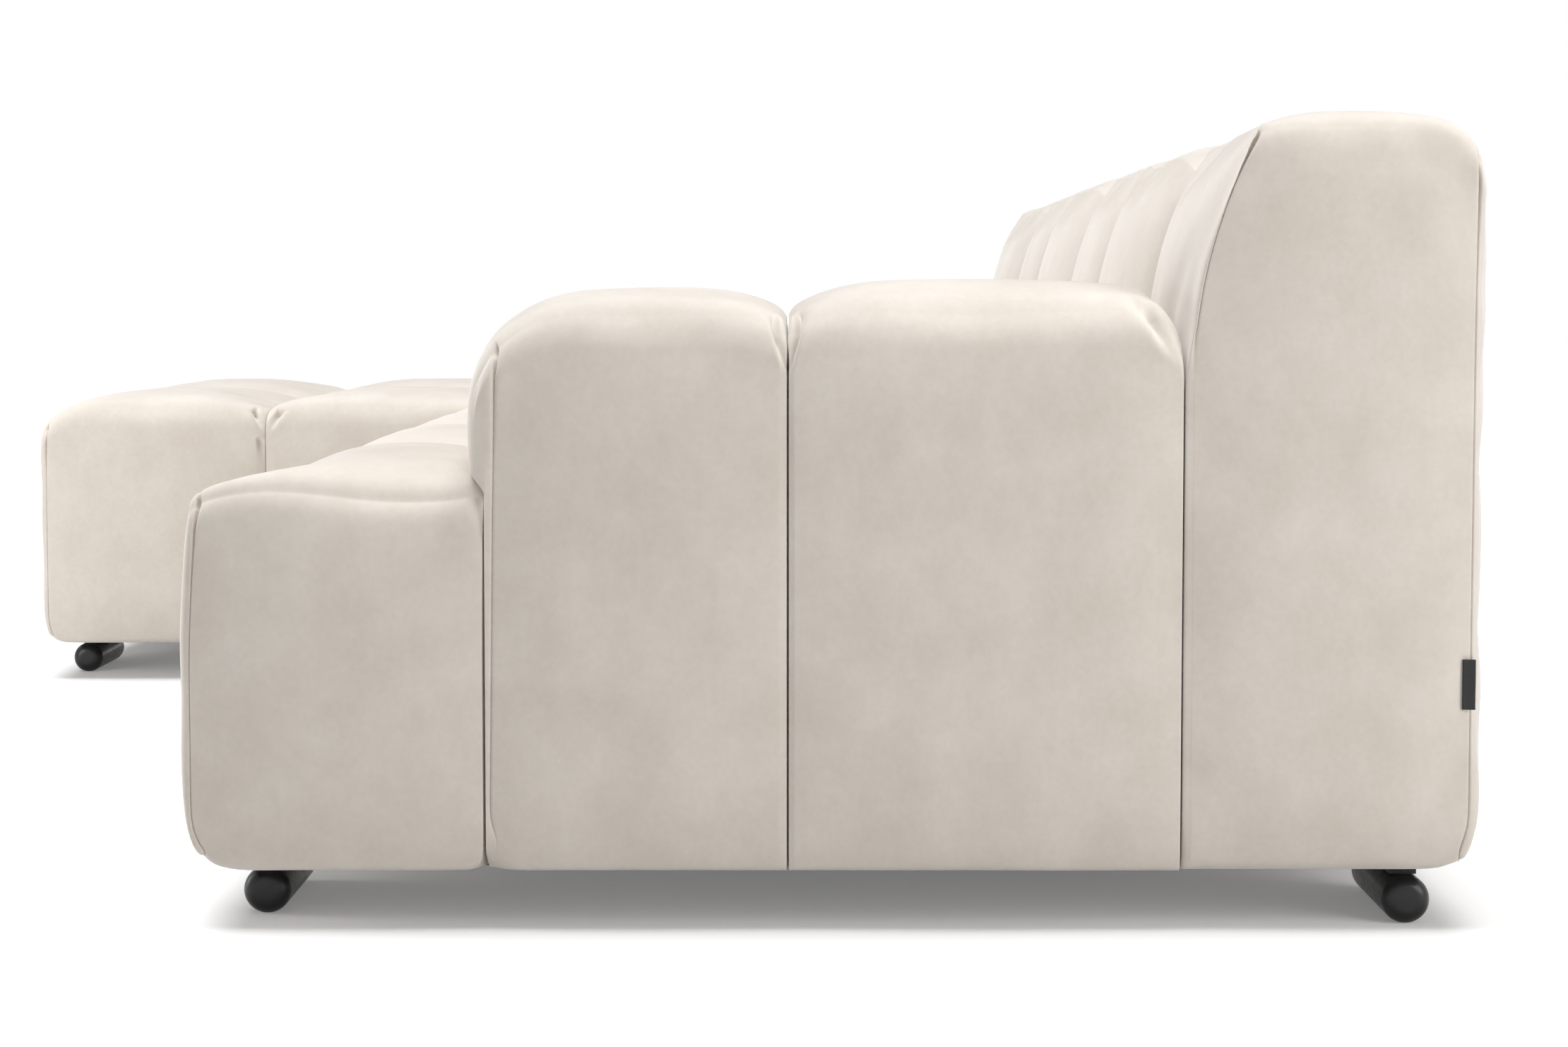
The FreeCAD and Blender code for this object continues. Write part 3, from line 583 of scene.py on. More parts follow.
def finish_of(slot):
    """The finish of a material slot, made when it is first asked for."""
    if slot == "velvet":
        return velvet()
    black = tuple(bpy.context.scene.sofa_fittings.foot_black)
    table = {
        "foam": ((0.80, 0.72, 0.50), (0.70, 0.62, 0.40), 420.0, 0.95, {"bump": 0.4}),
        "felt": ((0.42, 0.41, 0.40), (0.20, 0.20, 0.20), 260.0, 0.97, {"bump": 0.5}),
        "dust_cloth": ((0.030, 0.030, 0.031), (0.014, 0.014, 0.015), 900.0, 0.92, {"bump": 0.5}),
        "tab_black": ((0.016, 0.016, 0.017), (0.008, 0.008, 0.009), 1500.0, 0.75,
                      {"stretch": (1, 1, 0.35), "bump": 0.5}),
        "foot_black": (black, tuple(c * 0.8 for c in black), 60.0, 0.36,
                       {"bump": 0.03, "coat": 0.08, "gloss": 0.3}),
        "mount_black": ((0.018, 0.018, 0.018), (0.010, 0.010, 0.010), 180.0, 0.6, {}),
        "spring_steel": ((0.36, 0.36, 0.37), (0.22, 0.22, 0.23), 90.0, 0.38, {"metallic": 1.0}),
        "zinc_steel": ((0.62, 0.61, 0.58), (0.48, 0.48, 0.47), 140.0, 0.33, {"metallic": 1.0}),
        "timber": ((0.63, 0.45, 0.27), (0.50, 0.33, 0.18), 22.0, 0.62,
                   {"stretch": (0.15, 1, 1), "bump": 0.15}),
    }
    *tones, more = table[slot]
    return plain_finish(slot, *tones, **more)


# ---- covers

def lines_on(side, axis, places, drops, reach):
    """Sewn lines at these places of one side, each with its own drop."""
    return [(side, axis, place, drop, reach, SEWN) for place, drop in zip(places, drops)]


def under(facing):
    """Points on a cover's underside."""
    return facing[:, Z] < -0.9


def near_corner(radius):
    """A lower corner that is rounded by the near end only."""
    return lambda flat: SLIGHT_ROUND + (radius - SLIGHT_ROUND) * rising(flat[:, X], 1362.0, 24.0)


def seat_front_pattern():
    """The roll along the seat's front, with its open end under the arm."""
    front, rear, corner, roll = -291.0, -25.6, -284.0, (85.0, 185.0)
    knots = ((SOFA_JOIN, *CHANNEL_SEAMS, NEAR_X), (front, rear), (BASE_Z, SEAT_Z))
    seams = knots[X][:-1]
    lines = lines_on(TOP, X, seams, (24, 52, 52, 46), 230.0)
    lines += lines_on(FRONT, X, seams, (9, 18, 18, 14), 200.0)
    lines += [(TOP, Y, front, *roll, SOFT), (TOP, Y, rear, 28.0, 34.0, SEWN),
              (NEAR_END, Y, corner, *END_DRAW, END_SEAM), (NEAR_END, Y, rear, 1.8, 24.0, SEWN)]

    def bend(points, flat, facing):
        # The front leans back, and by the open end the top stays high with a small roll of its own.
        points[:, Y] += 8.0 * rising(flat[:, Z], 230.0, 170.0) ** 1.5 * falling(flat[:, Y], 40.0, 320.0)
        upheld = valley(flat[:, Y], front, *roll) - valley(flat[:, Y], front, 18.0, 90.0)
        upheld += valley(flat[:, Y], rear, 26.0, 34.0)
        lift = upheld * eased(flat[:, X], 1290.0, 105.0) - valley(flat[:, X], NEAR_X, 18.0, 180.0)
        points[:, Z] += lift * np.clip(1 - (SEAT_Z - flat[:, Z]) / 200.0, 0, 1)

    def held(flat, facing):
        return (facing[:, Y] > 0) | under(facing) | (facing[:, X] < 0)

    rounds = [((X, Z), (1, 1), 30.0), ((X, Z), (1, -1), 14.0), ((Y, Z), (-1, -1), 48.0),
              ((Y, Z), (1, -1), near_corner(18.0)), ((X, Y), (1, -1), 9.0)]
    tucks = [((1388.0, -29.0, 370.0), (1395.0, -27.0, 328.0), 2.2, 6.0)]
    return Pattern(knots, rounds, lines, held, bend, tucks, ((), (corner,), (360.0,)))


def seat_pattern():
    """The seat between the arm and the chaise, sewn in channels and rows."""
    knots = ((SOFA_JOIN, *CHANNEL_SEAMS, 1136.0), SEAT_ROWS, (301.0, SEAT_Z))
    lines = lines_on(TOP, X, knots[X], (24, 52, 52, 46, 26), 230.0)
    lines += lines_on(TOP, Y, SEAT_ROWS, (28, 20, 30), 110.0)

    def held(flat, facing):
        return (np.abs(facing[:, :2]).max(1) > 0) | (facing[:, Z] < 0)

    return Pattern(knots, [], lines, held)


def free_roll(flat):
    """The arm's front edge is rolled where it stands clear of the seat."""
    return SLIGHT_ROUND + 18.0 * eased(flat[:, Z], 375.0, 45.0)


def dip_near_end(points, flat, facing):
    """The arm's top is a little lower by its outer end."""
    points[:, Z] -= 6.0 * eased(flat[:, X], 1280.0, 75.0) * rising(flat[:, Z], 380.0, 170.0)


def by_seat(flat, facing):
    """Points of the arm's inner side that the seat hides."""
    return (facing[:, X] < 0) & (flat[:, Z] < 400)


ARM_ROUNDS = [((X, Z), (1, 1), 44.0), ((X, Z), (-1, 1), 44.0), ((X, Z), (1, -1), 14.0)]


def arm_front_pattern():
    """Up the outer side, over the top and down to the seat, with a rolled front."""
    front, seam, corner = -38.0, ARM_SEAM[0], -15.0
    knots = ((ARM_INNER, NEAR_X), (front, seam), (BASE_Z, 552.0))
    lines = [(TOP, Y, front, 88.0, 120.0, SOFT), (TOP, Y, seam, 30.0, 105.0, SEWN),
             (NEAR_END, Y, corner, *END_DRAW, END_SEAM, 80.0), (NEAR_END, Y, seam, 1.4, 22.0, SEWN),
             (FAR_END, Y, seam, 4.0, 36.0, SEWN)]

    def bend(points, flat, facing):
        points[:, Y] += falling(flat[:, Y], 190.0, 220.0) * 6.0 * (rising(flat[:, Z], 120.0, 400.0) - 1.0)
        points[:, Y] = np.maximum(points[:, Y], front + falling(flat[:, Z], 425.0, 25.0) * 13.5)
        dip_near_end(points, flat, facing)

    def held(flat, facing):
        on_seat = (facing[:, Y] < 0) & (flat[:, Z] < 410)
        return (facing[:, Y] > 0) | under(facing) | by_seat(flat, facing) | on_seat

    rounds = ARM_ROUNDS + [((X, Y), (1, -1), free_roll), ((X, Y), (-1, -1), 20.0),
                           ((Y, Z), (-1, -1), near_corner(48.0))]
    tucks = [((1385.0, 222.0, 528.0), (1396.0, 232.5, 478.0), 2.2, 13.0)]
    return Pattern(knots, rounds, lines, held, bend, tucks, ((), (corner, 226.0), (505.0,)))


def arm_rear_pattern():
    """The arm's second strip, from the seam to the back."""
    seam, rear = ARM_SEAM[1], 571.0
    knots = ((ARM_INNER, NEAR_X), (seam, rear), (BASE_Z, 556.0))
    lines = [(TOP, Y, seam, 32.0, 110.0, SEWN), (TOP, Y, rear, 54.0, 60.0, SEWN),
             (NEAR_END, Y, seam, 1.4, 22.0, SEWN), (NEAR_END, Y, rear, 1.8, 24.0, SEWN),
             (FAR_END, Y, seam, 4.0, 36.0, SEWN), (FAR_END, Y, rear, 4.0, 36.0, SEWN)]

    def held(flat, facing):
        return (np.abs(facing[:, Y]) > 0) | under(facing) | by_seat(flat, facing)

    tucks = [((1385.0, 243.0, 529.0), (1396.0, 235.5, 478.0), 2.2, 13.0),
             ((1384.0, 536.0, 541.0), (1397.0, 563.0, 490.0), 5.0, 14.0)]
    return Pattern(knots, ARM_ROUNDS, lines, held, dip_near_end, tucks, ((), (240.0, 548.0), (505.0,)))


def back_lean(z):
    """How far the back's front leans to the rear at a height."""
    return 58.0 * np.clip((z - 480.0) / 208.0, 0, 1.1) ** 2


def clear_of_arm(flat):
    """The back's front edge is rolled where it stands above the arm."""
    return SLIGHT_ROUND + 3.0 * eased(flat[:, Z], 480.0, 40.0)


def behind_arm(flat, facing):
    """Points of the back's front that the arm hides."""
    return (facing[:, Y] < 0) & (flat[:, X] > ARM_INNER) & (flat[:, Z] < 500)


def back_pattern(seams, sign):
    """Channels run up the front, over the top and down the rear; the open end, on the sign's side, bulges."""
    xs, side, front, rear = list(seams), (X, sign), 569.0, 834.0
    xs[-1 if sign > 0 else 0] += sign * END_BULGE
    inner = xs[:-1] if sign > 0 else xs[1:]
    corners = (front + 3.0, rear - 11.0)
    lines = lines_on(REAR, X, inner, [8.0] * len(inner), 80.0)
    for place in inner:
        deep = place in DEEP_SEAMS
        lines.append((TOP, X, place, *((56.0, 330.0) if deep else (14.0, 140.0)), SEWN))
        lines.append((FRONT, X, place, *((54.0, 330.0) if deep else (24.0, 170.0)), SEWN))
    lines += [(TOP, Y, front, 12.0, 110.0, SOFT), (TOP, Y, rear, 60.0, 80.0, SOFT),
              (side, Y, corners[0], *END_DRAW, END_SEAM, 480.0), (side, Y, corners[1], *END_DRAW, END_SEAM)]

    def bend(points, flat, facing):
        share = np.clip((rear - points[:, Y]) / (rear - front), 0, 1.1)
        points[:, Y] += back_lean(points[:, Z]) * share
        behind = behind_arm(flat, facing) * falling(flat[:, Z], 505.0, 15.0)
        points[:, Y] += behind * (571.4 - points[:, Y])

    def held(flat, facing):
        by_seat_pad = (facing[:, Y] < 0) & (flat[:, Z] < 380)
        return under(facing) | (sign * facing[:, X] < 0) | by_seat_pad | behind_arm(flat, facing)

    knots = (tuple(xs), (front, rear), (BASE_Z, 701.0))
    rounds = [((Y, Z), (1, -1), 44.0), ((X, Z), (sign, 1), 30.0), ((X, Z), (sign, -1), 20.0),
              ((X, Y), (sign, 1), 13.0), ((X, Y), (sign, -1), clear_of_arm)]
    tucks = [((sign * 1388.0, 806.0, 668.0), (sign * 1396.0, 802.0, 600.0), 5.0, 4.0)]
    return Pattern(knots, rounds, lines, held, bend, tucks, ((), corners, (650.0,)))


def chaise_pattern():
    """The chaise's long pad, sewn in rows, with room for the hooks at its side."""
    front, corner = -836.0, -828.0
    knots = ((FAR_X, CHAISE_SEAM, CHAISE_JOIN), (front, *CHAISE_ROWS), (BASE_Z, SEAT_Z))
    lines = [(TOP, X, CHAISE_SEAM, 28.0, 210.0, SEWN), (FRONT, X, CHAISE_SEAM, 13.0, 120.0, SEWN),
             (TOP, Y, front, 55.0, 125.0, SOFT)]
    lines += lines_on(TOP, Y, CHAISE_ROWS, (24, 20, 20, 30), 150.0)
    lines += lines_on(NEAR_END, Y, CHAISE_ROWS[:1], (6,), 70.0)
    lines += lines_on(FAR_END, Y, CHAISE_ROWS, (9, 8, 8, 8), 90.0)
    lines += [(side, Y, corner, *END_DRAW, END_SEAM) for side in (NEAR_END, FAR_END)]

    def held(flat, facing):
        return (facing[:, Y] > 0) | under(facing) | ((facing[:, X] > 0) & (flat[:, Y] > -262))

    rounds = [((X, Z), (1, 1), 36.0), ((X, Z), (-1, 1), 36.0), ((X, Z), (-1, -1), 24.0),
              ((X, Z), (1, -1), 14.0), ((Y, Z), (-1, -1), 34.0), ((X, Y), (1, -1), 14.0),
              ((X, Y), (-1, -1), 14.0)]
    tucks = [((-462.0, -524.0, 380.0), (-448.0, -509.0, 352.0), 3.0, 9.0),
             ((-462.0, -490.0, 380.0), (-448.0, -506.0, 352.0), 3.0, 9.0),
             ((-462.0, -517.0, 340.0), (-448.0, -509.0, 322.0), 3.0, 7.0)]

    def bend(points, flat, facing):
        room = falling(flat[:, Z], 235.0, 35.0) * rising(flat[:, X], -500.0, 30.0)
        beside = np.abs(flat[:, 1:2] - np.array(HOOK_PLACES)).min(1)
        points[:, X] -= HOOK_ROOM * room * falling(beside, 76.0, 28.0)

    return Pattern(knots, rounds, lines, held, bend, tucks, ((), (corner, -522.0, -494.0), (360.0,)))


# ---- inner padding and sheets

def soft_slab(name, low, high, edge, step, ripple=0.0):
    """A slab with eased edges and, on a thin one, a slight ripple."""
    lines = [np.linspace(a, b, max(3, int((b - a) / step) + 1)) for a, b in zip(low, high)]
    if high[2] - low[2] < 3 * edge:
        lines[2] = np.array([low[2], high[2]])
    points, index, quads = box_skin(*lines)
    facing = outward(index)
    if len(lines[2]) > 2:
        for axes in ((0, 1), (0, 2), (1, 2)):
            for signs in ((1, 1), (1, -1), (-1, 1), (-1, -1)):
                at = [high[a] if s > 0 else low[a] for a, s in zip(axes, signs)]
                round_edge(points, facing, axes, at, signs, edge)
    if ripple:
        wave = np.sin(points[:, 0] * 41.0 + 1.3) * np.sin(points[:, 1] * 29.0 + 0.4)
        points[:, 2] += ripple * wave
    return link(name, mesh_of(name, points, quads))


def foam_block(node, name, body):
    """A block of foam, a little inside the one that it stands for."""
    low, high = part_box(node)
    inset = Vector((0.001,) * 3)
    block = soft_slab(name, low + inset, high - inset, 0.008, 0.05)
    stand_in(block, body, node, "foam")


def laid_sheet(node, name, body, slot, ripple):
    """A sheet of cloth or felt, as large as the one that it stands for."""
    low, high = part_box(node)
    cloth = soft_slab(name, low, high, 0.004, 0.03, ripple)
    stand_in(cloth, body, node, slot)
    return low, high


def foot_mesh(name, x, y):
    """A lying cylinder with rounded ends, flat on the floor and under its mount."""
    fittings = bpy.context.scene.sofa_fittings
    r, half, e = fittings.foot_radius, fittings.foot_length / 2, fittings.foot_end
    turns = [math.radians(a) for a in range(0, 91, 10)]
    ends = [(half - e + e * math.sin(a), r - e + e * math.cos(a)) for a in turns]
    ends.append((half, (r - e) * 0.5))
    profile = [(-s, q) for s, q in reversed(ends)] + [(-half / 3, r), (half / 3, r)] + ends
    ring, last = 56, len(profile) - 1
    points, faces = [], []
    for s, q in profile:
        for a in (2 * math.pi * i / ring for i in range(ring)):
            z = min(max(FOOT_AXIS + q * math.sin(a), 0.0), FOOT_TOP)
            points.append((x + s, y + q * math.cos(a), z))
    low, top = len(points), last * ring
    points += [(x - half, y, FOOT_AXIS), (x + half, y, FOOT_AXIS)]
    for i in range(ring):
        j = (i + 1) % ring
        faces += [(row + i, row + j, row + ring + j, row + ring + i) for row in range(0, top, ring)]
        faces += [(j, i, low), (top + i, top + j, low + 1)]
    return mesh_of(name, points, faces)


def pieces_along_path():
    """Node tree that lays a small piece at even steps along a path."""
    tree = bpy.data.node_groups.get("pieces_along_path")
    if tree:
        return tree
    tree = bpy.data.node_groups.new("pieces_along_path", "GeometryNodeTree")
    sockets = {"Path": "Geometry", "Pitch": "Float", "Length": "Float", "Width": "Float", "Height": "Float",
               "Rounded": "Bool", "Finish": "Material"}
    for name, kind in sockets.items():
        tree.interface.new_socket(name, in_out="INPUT", socket_type="NodeSocket" + kind)
    tree.interface.new_socket("Pieces", in_out="OUTPUT", socket_type="NodeSocketGeometry")
    kinds = {
        "given": "NodeGroupInput", "out": "NodeGroupOutput", "curve": "GeometryNodeMeshToCurve",
        "spaced": "GeometryNodeResampleCurve", "ball": "GeometryNodeMeshUVSphere",
        "cube": "GeometryNodeMeshCube",
        "pick": "GeometryNodeSwitch", "size": "ShaderNodeCombineXYZ", "tangent": "GeometryNodeInputTangent",
        "turn": "FunctionNodeAlignRotationToVector", "lay": "GeometryNodeInstanceOnPoints",
        "real": "GeometryNodeRealizeInstances", "paint": "GeometryNodeSetMaterial"}
    nodes = {name: tree.nodes.new(kind) for name, kind in kinds.items()}
    nodes["spaced"].mode = "LENGTH"
    nodes["pick"].input_type = "GEOMETRY"
    nodes["turn"].axis = "X"
    set_inputs(nodes["ball"], {"Segments": 6, "Rings": 4, "Radius": 0.5})
    for ends in (
            "given.Path curve.Mesh", "curve.Curve spaced.Curve", "given.Pitch spaced.Length",
            "given.Rounded pick.Switch", "cube.Mesh pick.False", "ball.Mesh pick.True",
            "given.Length size.X", "given.Width size.Y", "given.Height size.Z", "tangent.Tangent turn.Vector",
            "spaced.Curve lay.Points", "pick.Output lay.Instance", "turn.Rotation lay.Rotation",
            "size.Vector lay.Scale", "lay.Instances real.Geometry", "real.Geometry paint.Geometry",
            "given.Finish paint.Material", "paint.Geometry out.Pieces"):
        (source, output), (target, entry) = (end.split(".") for end in ends.split())
        tree.links.new(nodes[source].outputs[output], nodes[target].inputs[entry])
    return tree


def lay_along(name, points, edges, sizes, finish, body):
    """Lays stitches or staples along a path, as one plain mesh that moves with its body."""
    path = bpy.data.meshes.new(name + "_path")
    path.from_pydata([tuple(p) for p in points], [tuple(e) for e in edges], [])
    carrier = link(name, path)
    tree = pieces_along_path()
    modifier = carrier.modifiers.new("along", "NODES")
    modifier.node_group = tree
    names = {item.name: item.identifier for item in tree.interface.items_tree if item.in_out == "INPUT"}
    for key, value in {**sizes, "Finish": finish}.items():
        modifier[names[key]] = value
    graph = bpy.context.evaluated_depsgraph_get()
    mesh = bpy.data.meshes.new_from_object(carrier.evaluated_get(graph))
    carrier.modifiers.remove(modifier)
    carrier.data = mesh
    mesh.name = name
    if not len(mesh.polygons):
        raise RuntimeError(name + " came out empty")
    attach(carrier, body)


# ---- operators

class SOFA_OT_seat_covers(bpy.types.Operator):
    """Sew the seat's front roll and the seat between the arm and the chaise"""
    bl_idname = "sofa.seat_covers"
    bl_label = "Seat covers"

    def execute(self, context):
        sewn_cover("seat_front_cover", seat_front_pattern(), SOFA_UNIT, "seat_front_pad")
        sewn_cover("seat_cover", seat_pattern(), SOFA_UNIT, "seat_pad")
        return {"FINISHED"}


class SOFA_OT_arm_covers(bpy.types.Operator):
    """Sew the two strips of the arm"""
    bl_idname = "sofa.arm_covers"
    bl_label = "Arm covers"

    def execute(self, context):
        sewn_cover("arm_front_cover", arm_front_pattern(), SOFA_UNIT, "arm_front_pad", coarse=14.0)
        sewn_cover("arm_rear_cover", arm_rear_pattern(), SOFA_UNIT, "arm_rear_pad", coarse=14.0)
        return {"FINISHED"}


class SOFA_OT_back_covers(bpy.types.Operator):
    """Sew the fluted backs of both units"""
    bl_idname = "sofa.back_covers"
    bl_label = "Back covers"

    def execute(self, context):
        sofa = back_pattern((SOFA_JOIN, *CHANNEL_SEAMS, BACK_ENDS[1]), 1)
        chaise = back_pattern((BACK_ENDS[0], CHAISE_SEAM, CHAISE_JOIN), -1)
        sewn_cover("sofa_back_cover", sofa, SOFA_UNIT, "sofa_back_pad", passes=2)
        sewn_cover("chaise_back_cover", chaise, CHAISE_UNIT, "chaise_back_pad", passes=2)
        return {"FINISHED"}


class SOFA_OT_chaise_cover(bpy.types.Operator):
    """Sew the chaise's long tufted pad"""
    bl_idname = "sofa.chaise_cover"
    bl_label = "Chaise cover"

    def execute(self, context):
        sewn_cover("chaise_cover", chaise_pattern(), CHAISE_UNIT, "chaise_pad")
        return {"FINISHED"}


class SOFA_OT_stitches(bpy.types.Operator):
    """Lay the thread along every seam"""
    bl_idname = "sofa.stitches"
    bl_label = "Seam stitches"

    def execute(self, context):
        pitch = context.scene.sofa_covers.stitch_pitch
        sizes = {"Pitch": pitch, "Length": pitch * 0.8, "Width": 0.0006, "Height": 0.0006, "Rounded": True}
        # The thread is real, but it is coloured in the velvet's shaded tone: painted shade that darkens the
        # seam lines.
        thread = plain_finish("seam_thread_painted_shade", (0.46, 0.41, 0.36), (0.36, 0.32, 0.28), 700.0, 0.8)
        for unit, body in UNITS:
            points, edges, start = [], [], 0
            for own, pairs in SEWN_LINES[body]:
                points.append(own)
                edges.append(pairs + start)
                start += len(own)
            points, edges = np.concatenate(points), np.concatenate(edges)
            used, edges = np.unique(edges, return_inverse=True)
            edges = edges.reshape(-1, 2)
            lay_along(unit + "_seam_stitches", points[used], edges, sizes, thread, body)
        return {"FINISHED"}


class SOFA_OT_inner_padding(bpy.types.Operator):
    """Lay the foam under the covers and the felt over the springs"""
    bl_idname = "sofa.inner_padding"
    bl_label = "Inner padding"

    def execute(self, context):
        foam_block("arm_foam", "arm_foam_cap", SOFA_UNIT)
        for unit, body in UNITS:
            for foam in (unit + "_seat_foam", unit + "_back_foam"):
                foam_block(foam, foam + "_slab", body)
        for unit, body in UNITS:
            laid_sheet(unit + "_deck_felt", unit + "_spring_felt", body, "felt",
                       0.0004)
        return {"FINISHED"}


class SOFA_OT_dust_covers(bpy.types.Operator):
    """Stretch the black dust covers under both units and staple them"""
    bl_idname = "sofa.dust_covers"
    bl_label = "Dust covers"

    def execute(self, context):
        pitch = context.scene.sofa_fittings.staple_pitch
        sizes = {"Pitch": pitch, "Length": 0.010, "Width": 0.0011, "Height": 0.0006, "Rounded": False}
        for unit, body in UNITS:
            low, high = laid_sheet(
                unit + "_dust_cover", unit + "_dust_cloth", body, "dust_cloth", 0.0001)
            inset, z = 0.006, low[2] - 0.0002
            x0, x1, y0, y1 = low[0] + inset, high[0] - inset, low[1] + inset, high[1] - inset
            corners = [(x0, y0, z), (x1, y0, z), (x1, y1, z), (x0, y1, z)]
            lay_along(unit + "_staples", corners, [(0, 1), (1, 2), (2, 3), (3, 0)], sizes,
                      finish_of("zinc_steel"), body)
        return {"FINISHED"}


class SOFA_OT_feet(bpy.types.Operator):
    """Turn the black feet under both units"""
    bl_idname = "sofa.feet"
    bl_label = "Feet"

    def execute(self, context):
        for unit, body in UNITS:
            for place in ("front_near", "front_far", "rear_near", "rear_far"):
                node = f"{unit}_foot_{place}"
                low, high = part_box(node)
                name = f"{unit}_turned_foot_{place}"
                foot = link(name, foot_mesh(name, (low[0] + high[0]) / 2, (low[1] + high[1]) / 2))
                stand_in(foot, body, node, "foot_black")
        return {"FINISHED"}


class SOFA_OT_tab(bpy.types.Operator):
    """Sew the bare black tab into the back's rear seam"""
    bl_idname = "sofa.tab"
    bl_label = "Side tab"

    def execute(self, context):
        low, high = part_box("side_tab")
        lines = [np.linspace(a, b, count) for a, b, count in zip(low, high, (2, 9, 23))]
        points, _, quads = box_skin(*lines)
        lift = (points[:, 1] - low[1]) / (high[1] - low[1])
        points[:, 0] += 0.0012 * lift ** 2 + 0.0003 * np.sin(points[:, 2] * 180.0) * lift
        tab = link("woven_tab", mesh_of("woven_tab", points, quads))
        stand_in(tab, SOFA_UNIT, "side_tab", "tab_black")
        return {"FINISHED"}


class SOFA_OT_finishes(bpy.types.Operator):
    """Give every carried part its timber, steel or other finish"""
    bl_idname = "sofa.finishes"
    bl_label = "Frame finishes"

    def execute(self, context):
        slots = {p["node"]: p["material_slot"] for p in frame["record"]["subparts"]}
        for name, node in NODES.items():
            node.data.materials.clear()
            node.data.materials.append(finish_of(slots[name]))
        return {"FINISHED"}


class SOFA_OT_stage(bpy.types.Operator):
    """Set the pale floor, the soft lights and the camera"""
    bl_idname = "sofa.stage"
    bl_label = "Stage"

    def execute(self, context):
        scene = context.scene
        stage = scene.sofa_stage
        scene.view_settings.view_transform = "Standard"
        mesh = mesh_of("floor", [(-30, -30, 0), (30, -30, 0), (30, 30, 0), (-30, 30, 0)], [(0, 1, 2, 3)])
        floor = link("floor", mesh)
        floor.data.materials.append(floor_finish())
        scene.world = studio_world(stage.sky)
        cool, warm = (0.975, 0.987, 1.0), (1.0, 0.985, 0.965)
        soft_light("key", "SUN", (-0.10, -0.10, 1.0), (0.0, 0.0, 0.0), stage.key_power, cool,
                   angle=math.radians(50.0))
        soft_light("fill", "AREA", (2.9, 2.7, 1.2), (1.4, 0.7, 0.4), stage.fill_power, warm,
                   shape="RECTANGLE", size=1.8, size_y=1.6)
        soft_light("side", "AREA", (1.0, -1.75, 0.5), (-0.5, -0.6, 0.25), 0.36 * stage.fill_power, warm,
                   shape="RECTANGLE", size=1.0, size_y=0.8)
        camera = bpy.data.objects.new("camera", bpy.data.cameras.new("camera"))
        scene.collection.objects.link(camera)
        camera.data.sensor_width = 36.0
        camera.data.lens = stage.lens
        camera.location = stage.camera_place
        camera.rotation_euler = (math.pi / 2 - stage.camera_pitch, 0.0, CAMERA_TURN)
        scene.camera = camera
        return {"FINISHED"}


def soft_light(name, kind, place, target, energy, colour, **shape):
    """A wide light at a place, turned to its target."""
    light = bpy.data.lights.new(name, kind)
    light.energy, light.color = energy, colour
    for key, value in shape.items():
        setattr(light, key, value)
    lamp = bpy.data.objects.new(name, light)
    lamp.location = place
    lamp.rotation_euler = (Vector(place) - Vector(target)).to_track_quat("Z", "Y").to_euler()
    bpy.context.scene.collection.objects.link(lamp)


def studio_world(strength):
    """Soft light from all round, seen as white."""
    world = bpy.data.worlds.new("studio")
    tree, out = cleared(world, "ShaderNodeOutputWorld")
    pick = tree.nodes.new("ShaderNodeMixShader")
    tree.links.new(seen_directly(tree), pick.inputs["Fac"])
    for entry, colour, power in ((1, (1.0, 0.99, 0.975, 1.0), strength), (2, (1.0, 1.0, 1.0, 1.0), 1.0)):
        shade = tree.nodes.new("ShaderNodeBackground")
        set_inputs(shade, {"Color": colour, "Strength": power})
        tree.links.new(shade.outputs["Background"], pick.inputs[entry])
    tree.links.new(pick.outputs["Shader"], out.inputs["Surface"])
    return world


def seen_directly(tree):
    """One for rays seen by the camera, also in a gloss or through glass, else nothing."""
    path = tree.nodes.new("ShaderNodeLightPath")
    value = path.outputs["Is Camera Ray"]
    for kind in ("Is Glossy Ray", "Is Transmission Ray"):
        total = tree.nodes.new("ShaderNodeMath")
        total.operation = "ADD"
        total.use_clamp = True
        tree.links.new(value, total.inputs[0])
        tree.links.new(path.outputs[kind], total.inputs[1])
        value = total.outputs["Value"]
    return value


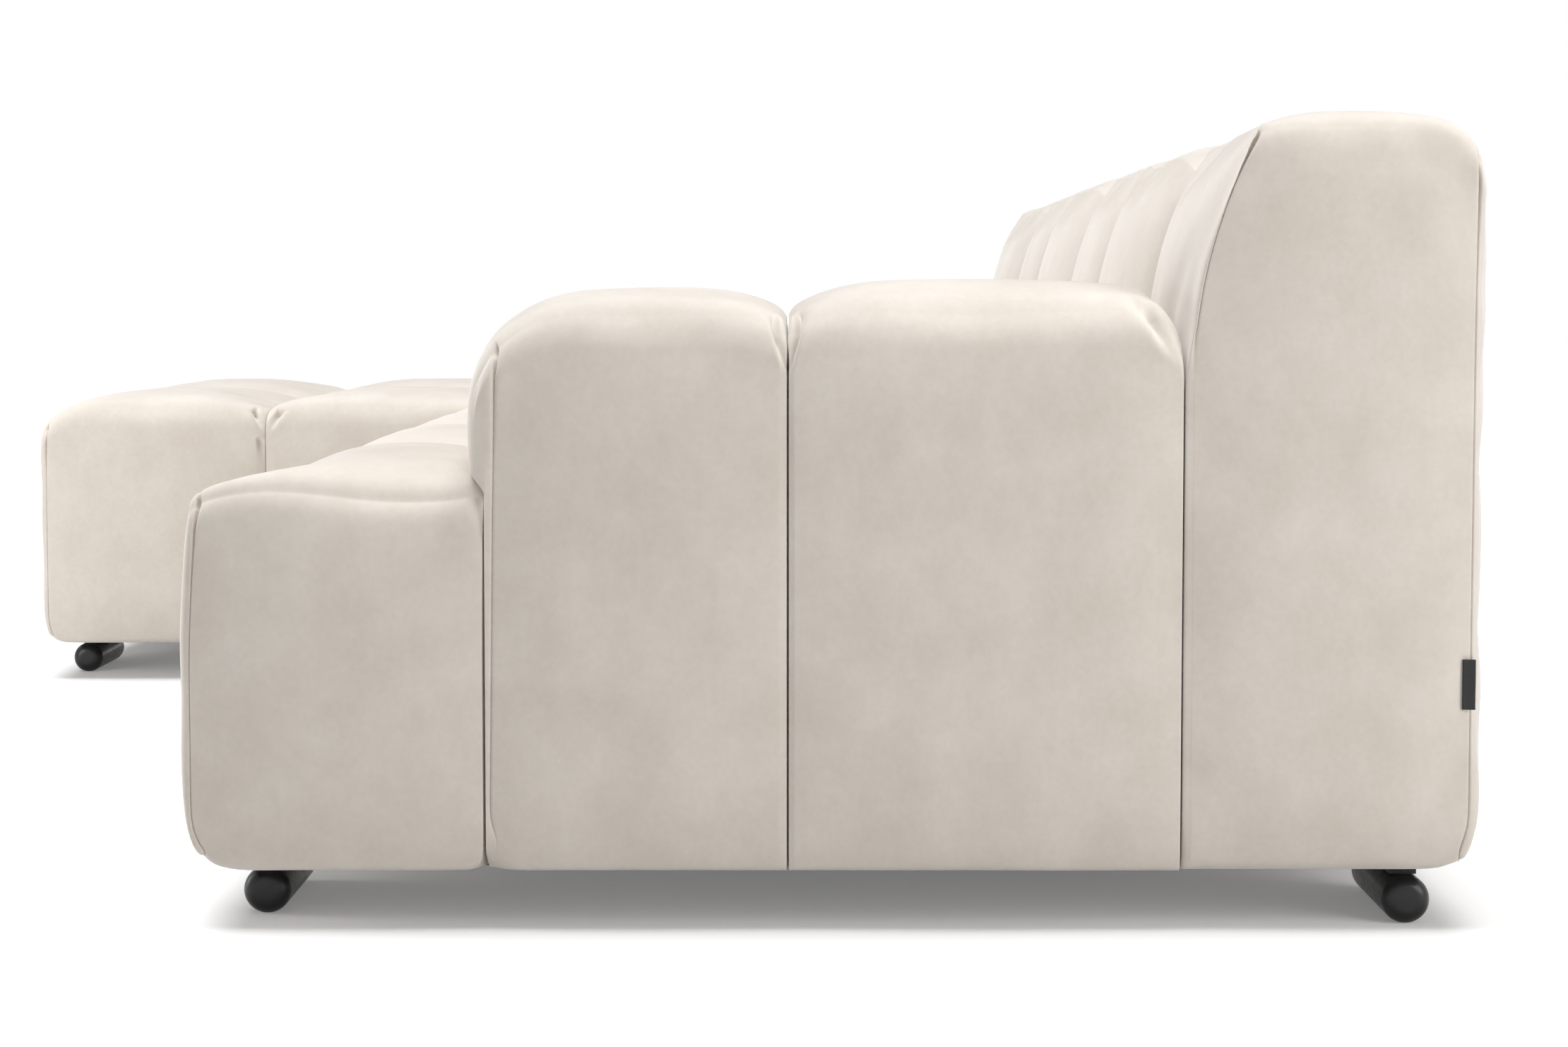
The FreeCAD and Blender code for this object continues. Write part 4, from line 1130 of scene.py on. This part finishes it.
def floor_finish():
    """Pale floor that shows white where it is lit, and keeps the object's shadow."""
    material = bpy.data.materials.new("pale_floor")
    tree, out = cleared(material, "ShaderNodeOutputMaterial")
    both = tree.nodes.new("ShaderNodeAddShader")
    paint = tree.nodes.new("ShaderNodeBsdfDiffuse")
    glow = tree.nodes.new("ShaderNodeEmission")
    share = tree.nodes.new("ShaderNodeMath")
    share.operation = "MULTIPLY"
    share.inputs[1].default_value = 0.17
    seen = seen_directly(tree)
    tree.links.new(blended(tree, seen, (0.66, 0.66, 0.66), (0.80, 0.80, 0.80)), paint.inputs["Color"])
    tree.links.new(seen, share.inputs[0])
    tree.links.new(share.outputs["Value"], glow.inputs["Strength"])
    tree.links.new(paint.outputs["BSDF"], both.inputs[0])
    tree.links.new(glow.outputs["Emission"], both.inputs[1])
    tree.links.new(both.outputs["Shader"], out.inputs["Surface"])
    return material


class SOFA_PT_pieces(bpy.types.Panel):
    """Buttons that make the sofa piece by piece"""
    bl_idname = "SOFA_PT_pieces"
    bl_label = "Lounge sofa"
    bl_space_type = "VIEW_3D"
    bl_region_type = "UI"
    bl_category = "Sofa"

    def draw(self, context):
        for key, kind in SETTINGS.items():
            box = self.layout.box()
            for setting in kind.__annotations__:
                box.prop(getattr(context.scene, key), setting)
        for operator in OPERATORS:
            self.layout.operator(operator.bl_idname)


SETTINGS = {"sofa_covers": SofaCoverSettings, "sofa_fittings": SofaFittingSettings,
            "sofa_stage": SofaStageSettings}
OPERATORS = (
    SOFA_OT_finishes, SOFA_OT_seat_covers, SOFA_OT_arm_covers, SOFA_OT_back_covers, SOFA_OT_chaise_cover,
    SOFA_OT_stitches, SOFA_OT_inner_padding, SOFA_OT_dust_covers, SOFA_OT_feet, SOFA_OT_tab, SOFA_OT_stage,
)


CLASSES = (*SETTINGS.values(), *OPERATORS, SOFA_PT_pieces)


def register():
    for kind in CLASSES:
        bpy.utils.register_class(kind)
    for key, kind in SETTINGS.items():
        setattr(bpy.types.Scene, key, PointerProperty(type=kind))


def unregister():
    for key in SETTINGS:
        delattr(bpy.types.Scene, key)
    for kind in reversed(CLASSES):
        bpy.utils.unregister_class(kind)


def main():
    register()
    bpy.ops.sofa.finishes()
    bpy.ops.sofa.seat_covers()
    bpy.ops.sofa.arm_covers()
    bpy.ops.sofa.back_covers()
    bpy.ops.sofa.chaise_cover()
    bpy.ops.sofa.stitches()
    bpy.ops.sofa.inner_padding()
    bpy.ops.sofa.dust_covers()
    bpy.ops.sofa.feet()
    bpy.ops.sofa.tab()
    bpy.ops.sofa.stage()


if __name__ == "__main__":
    main()
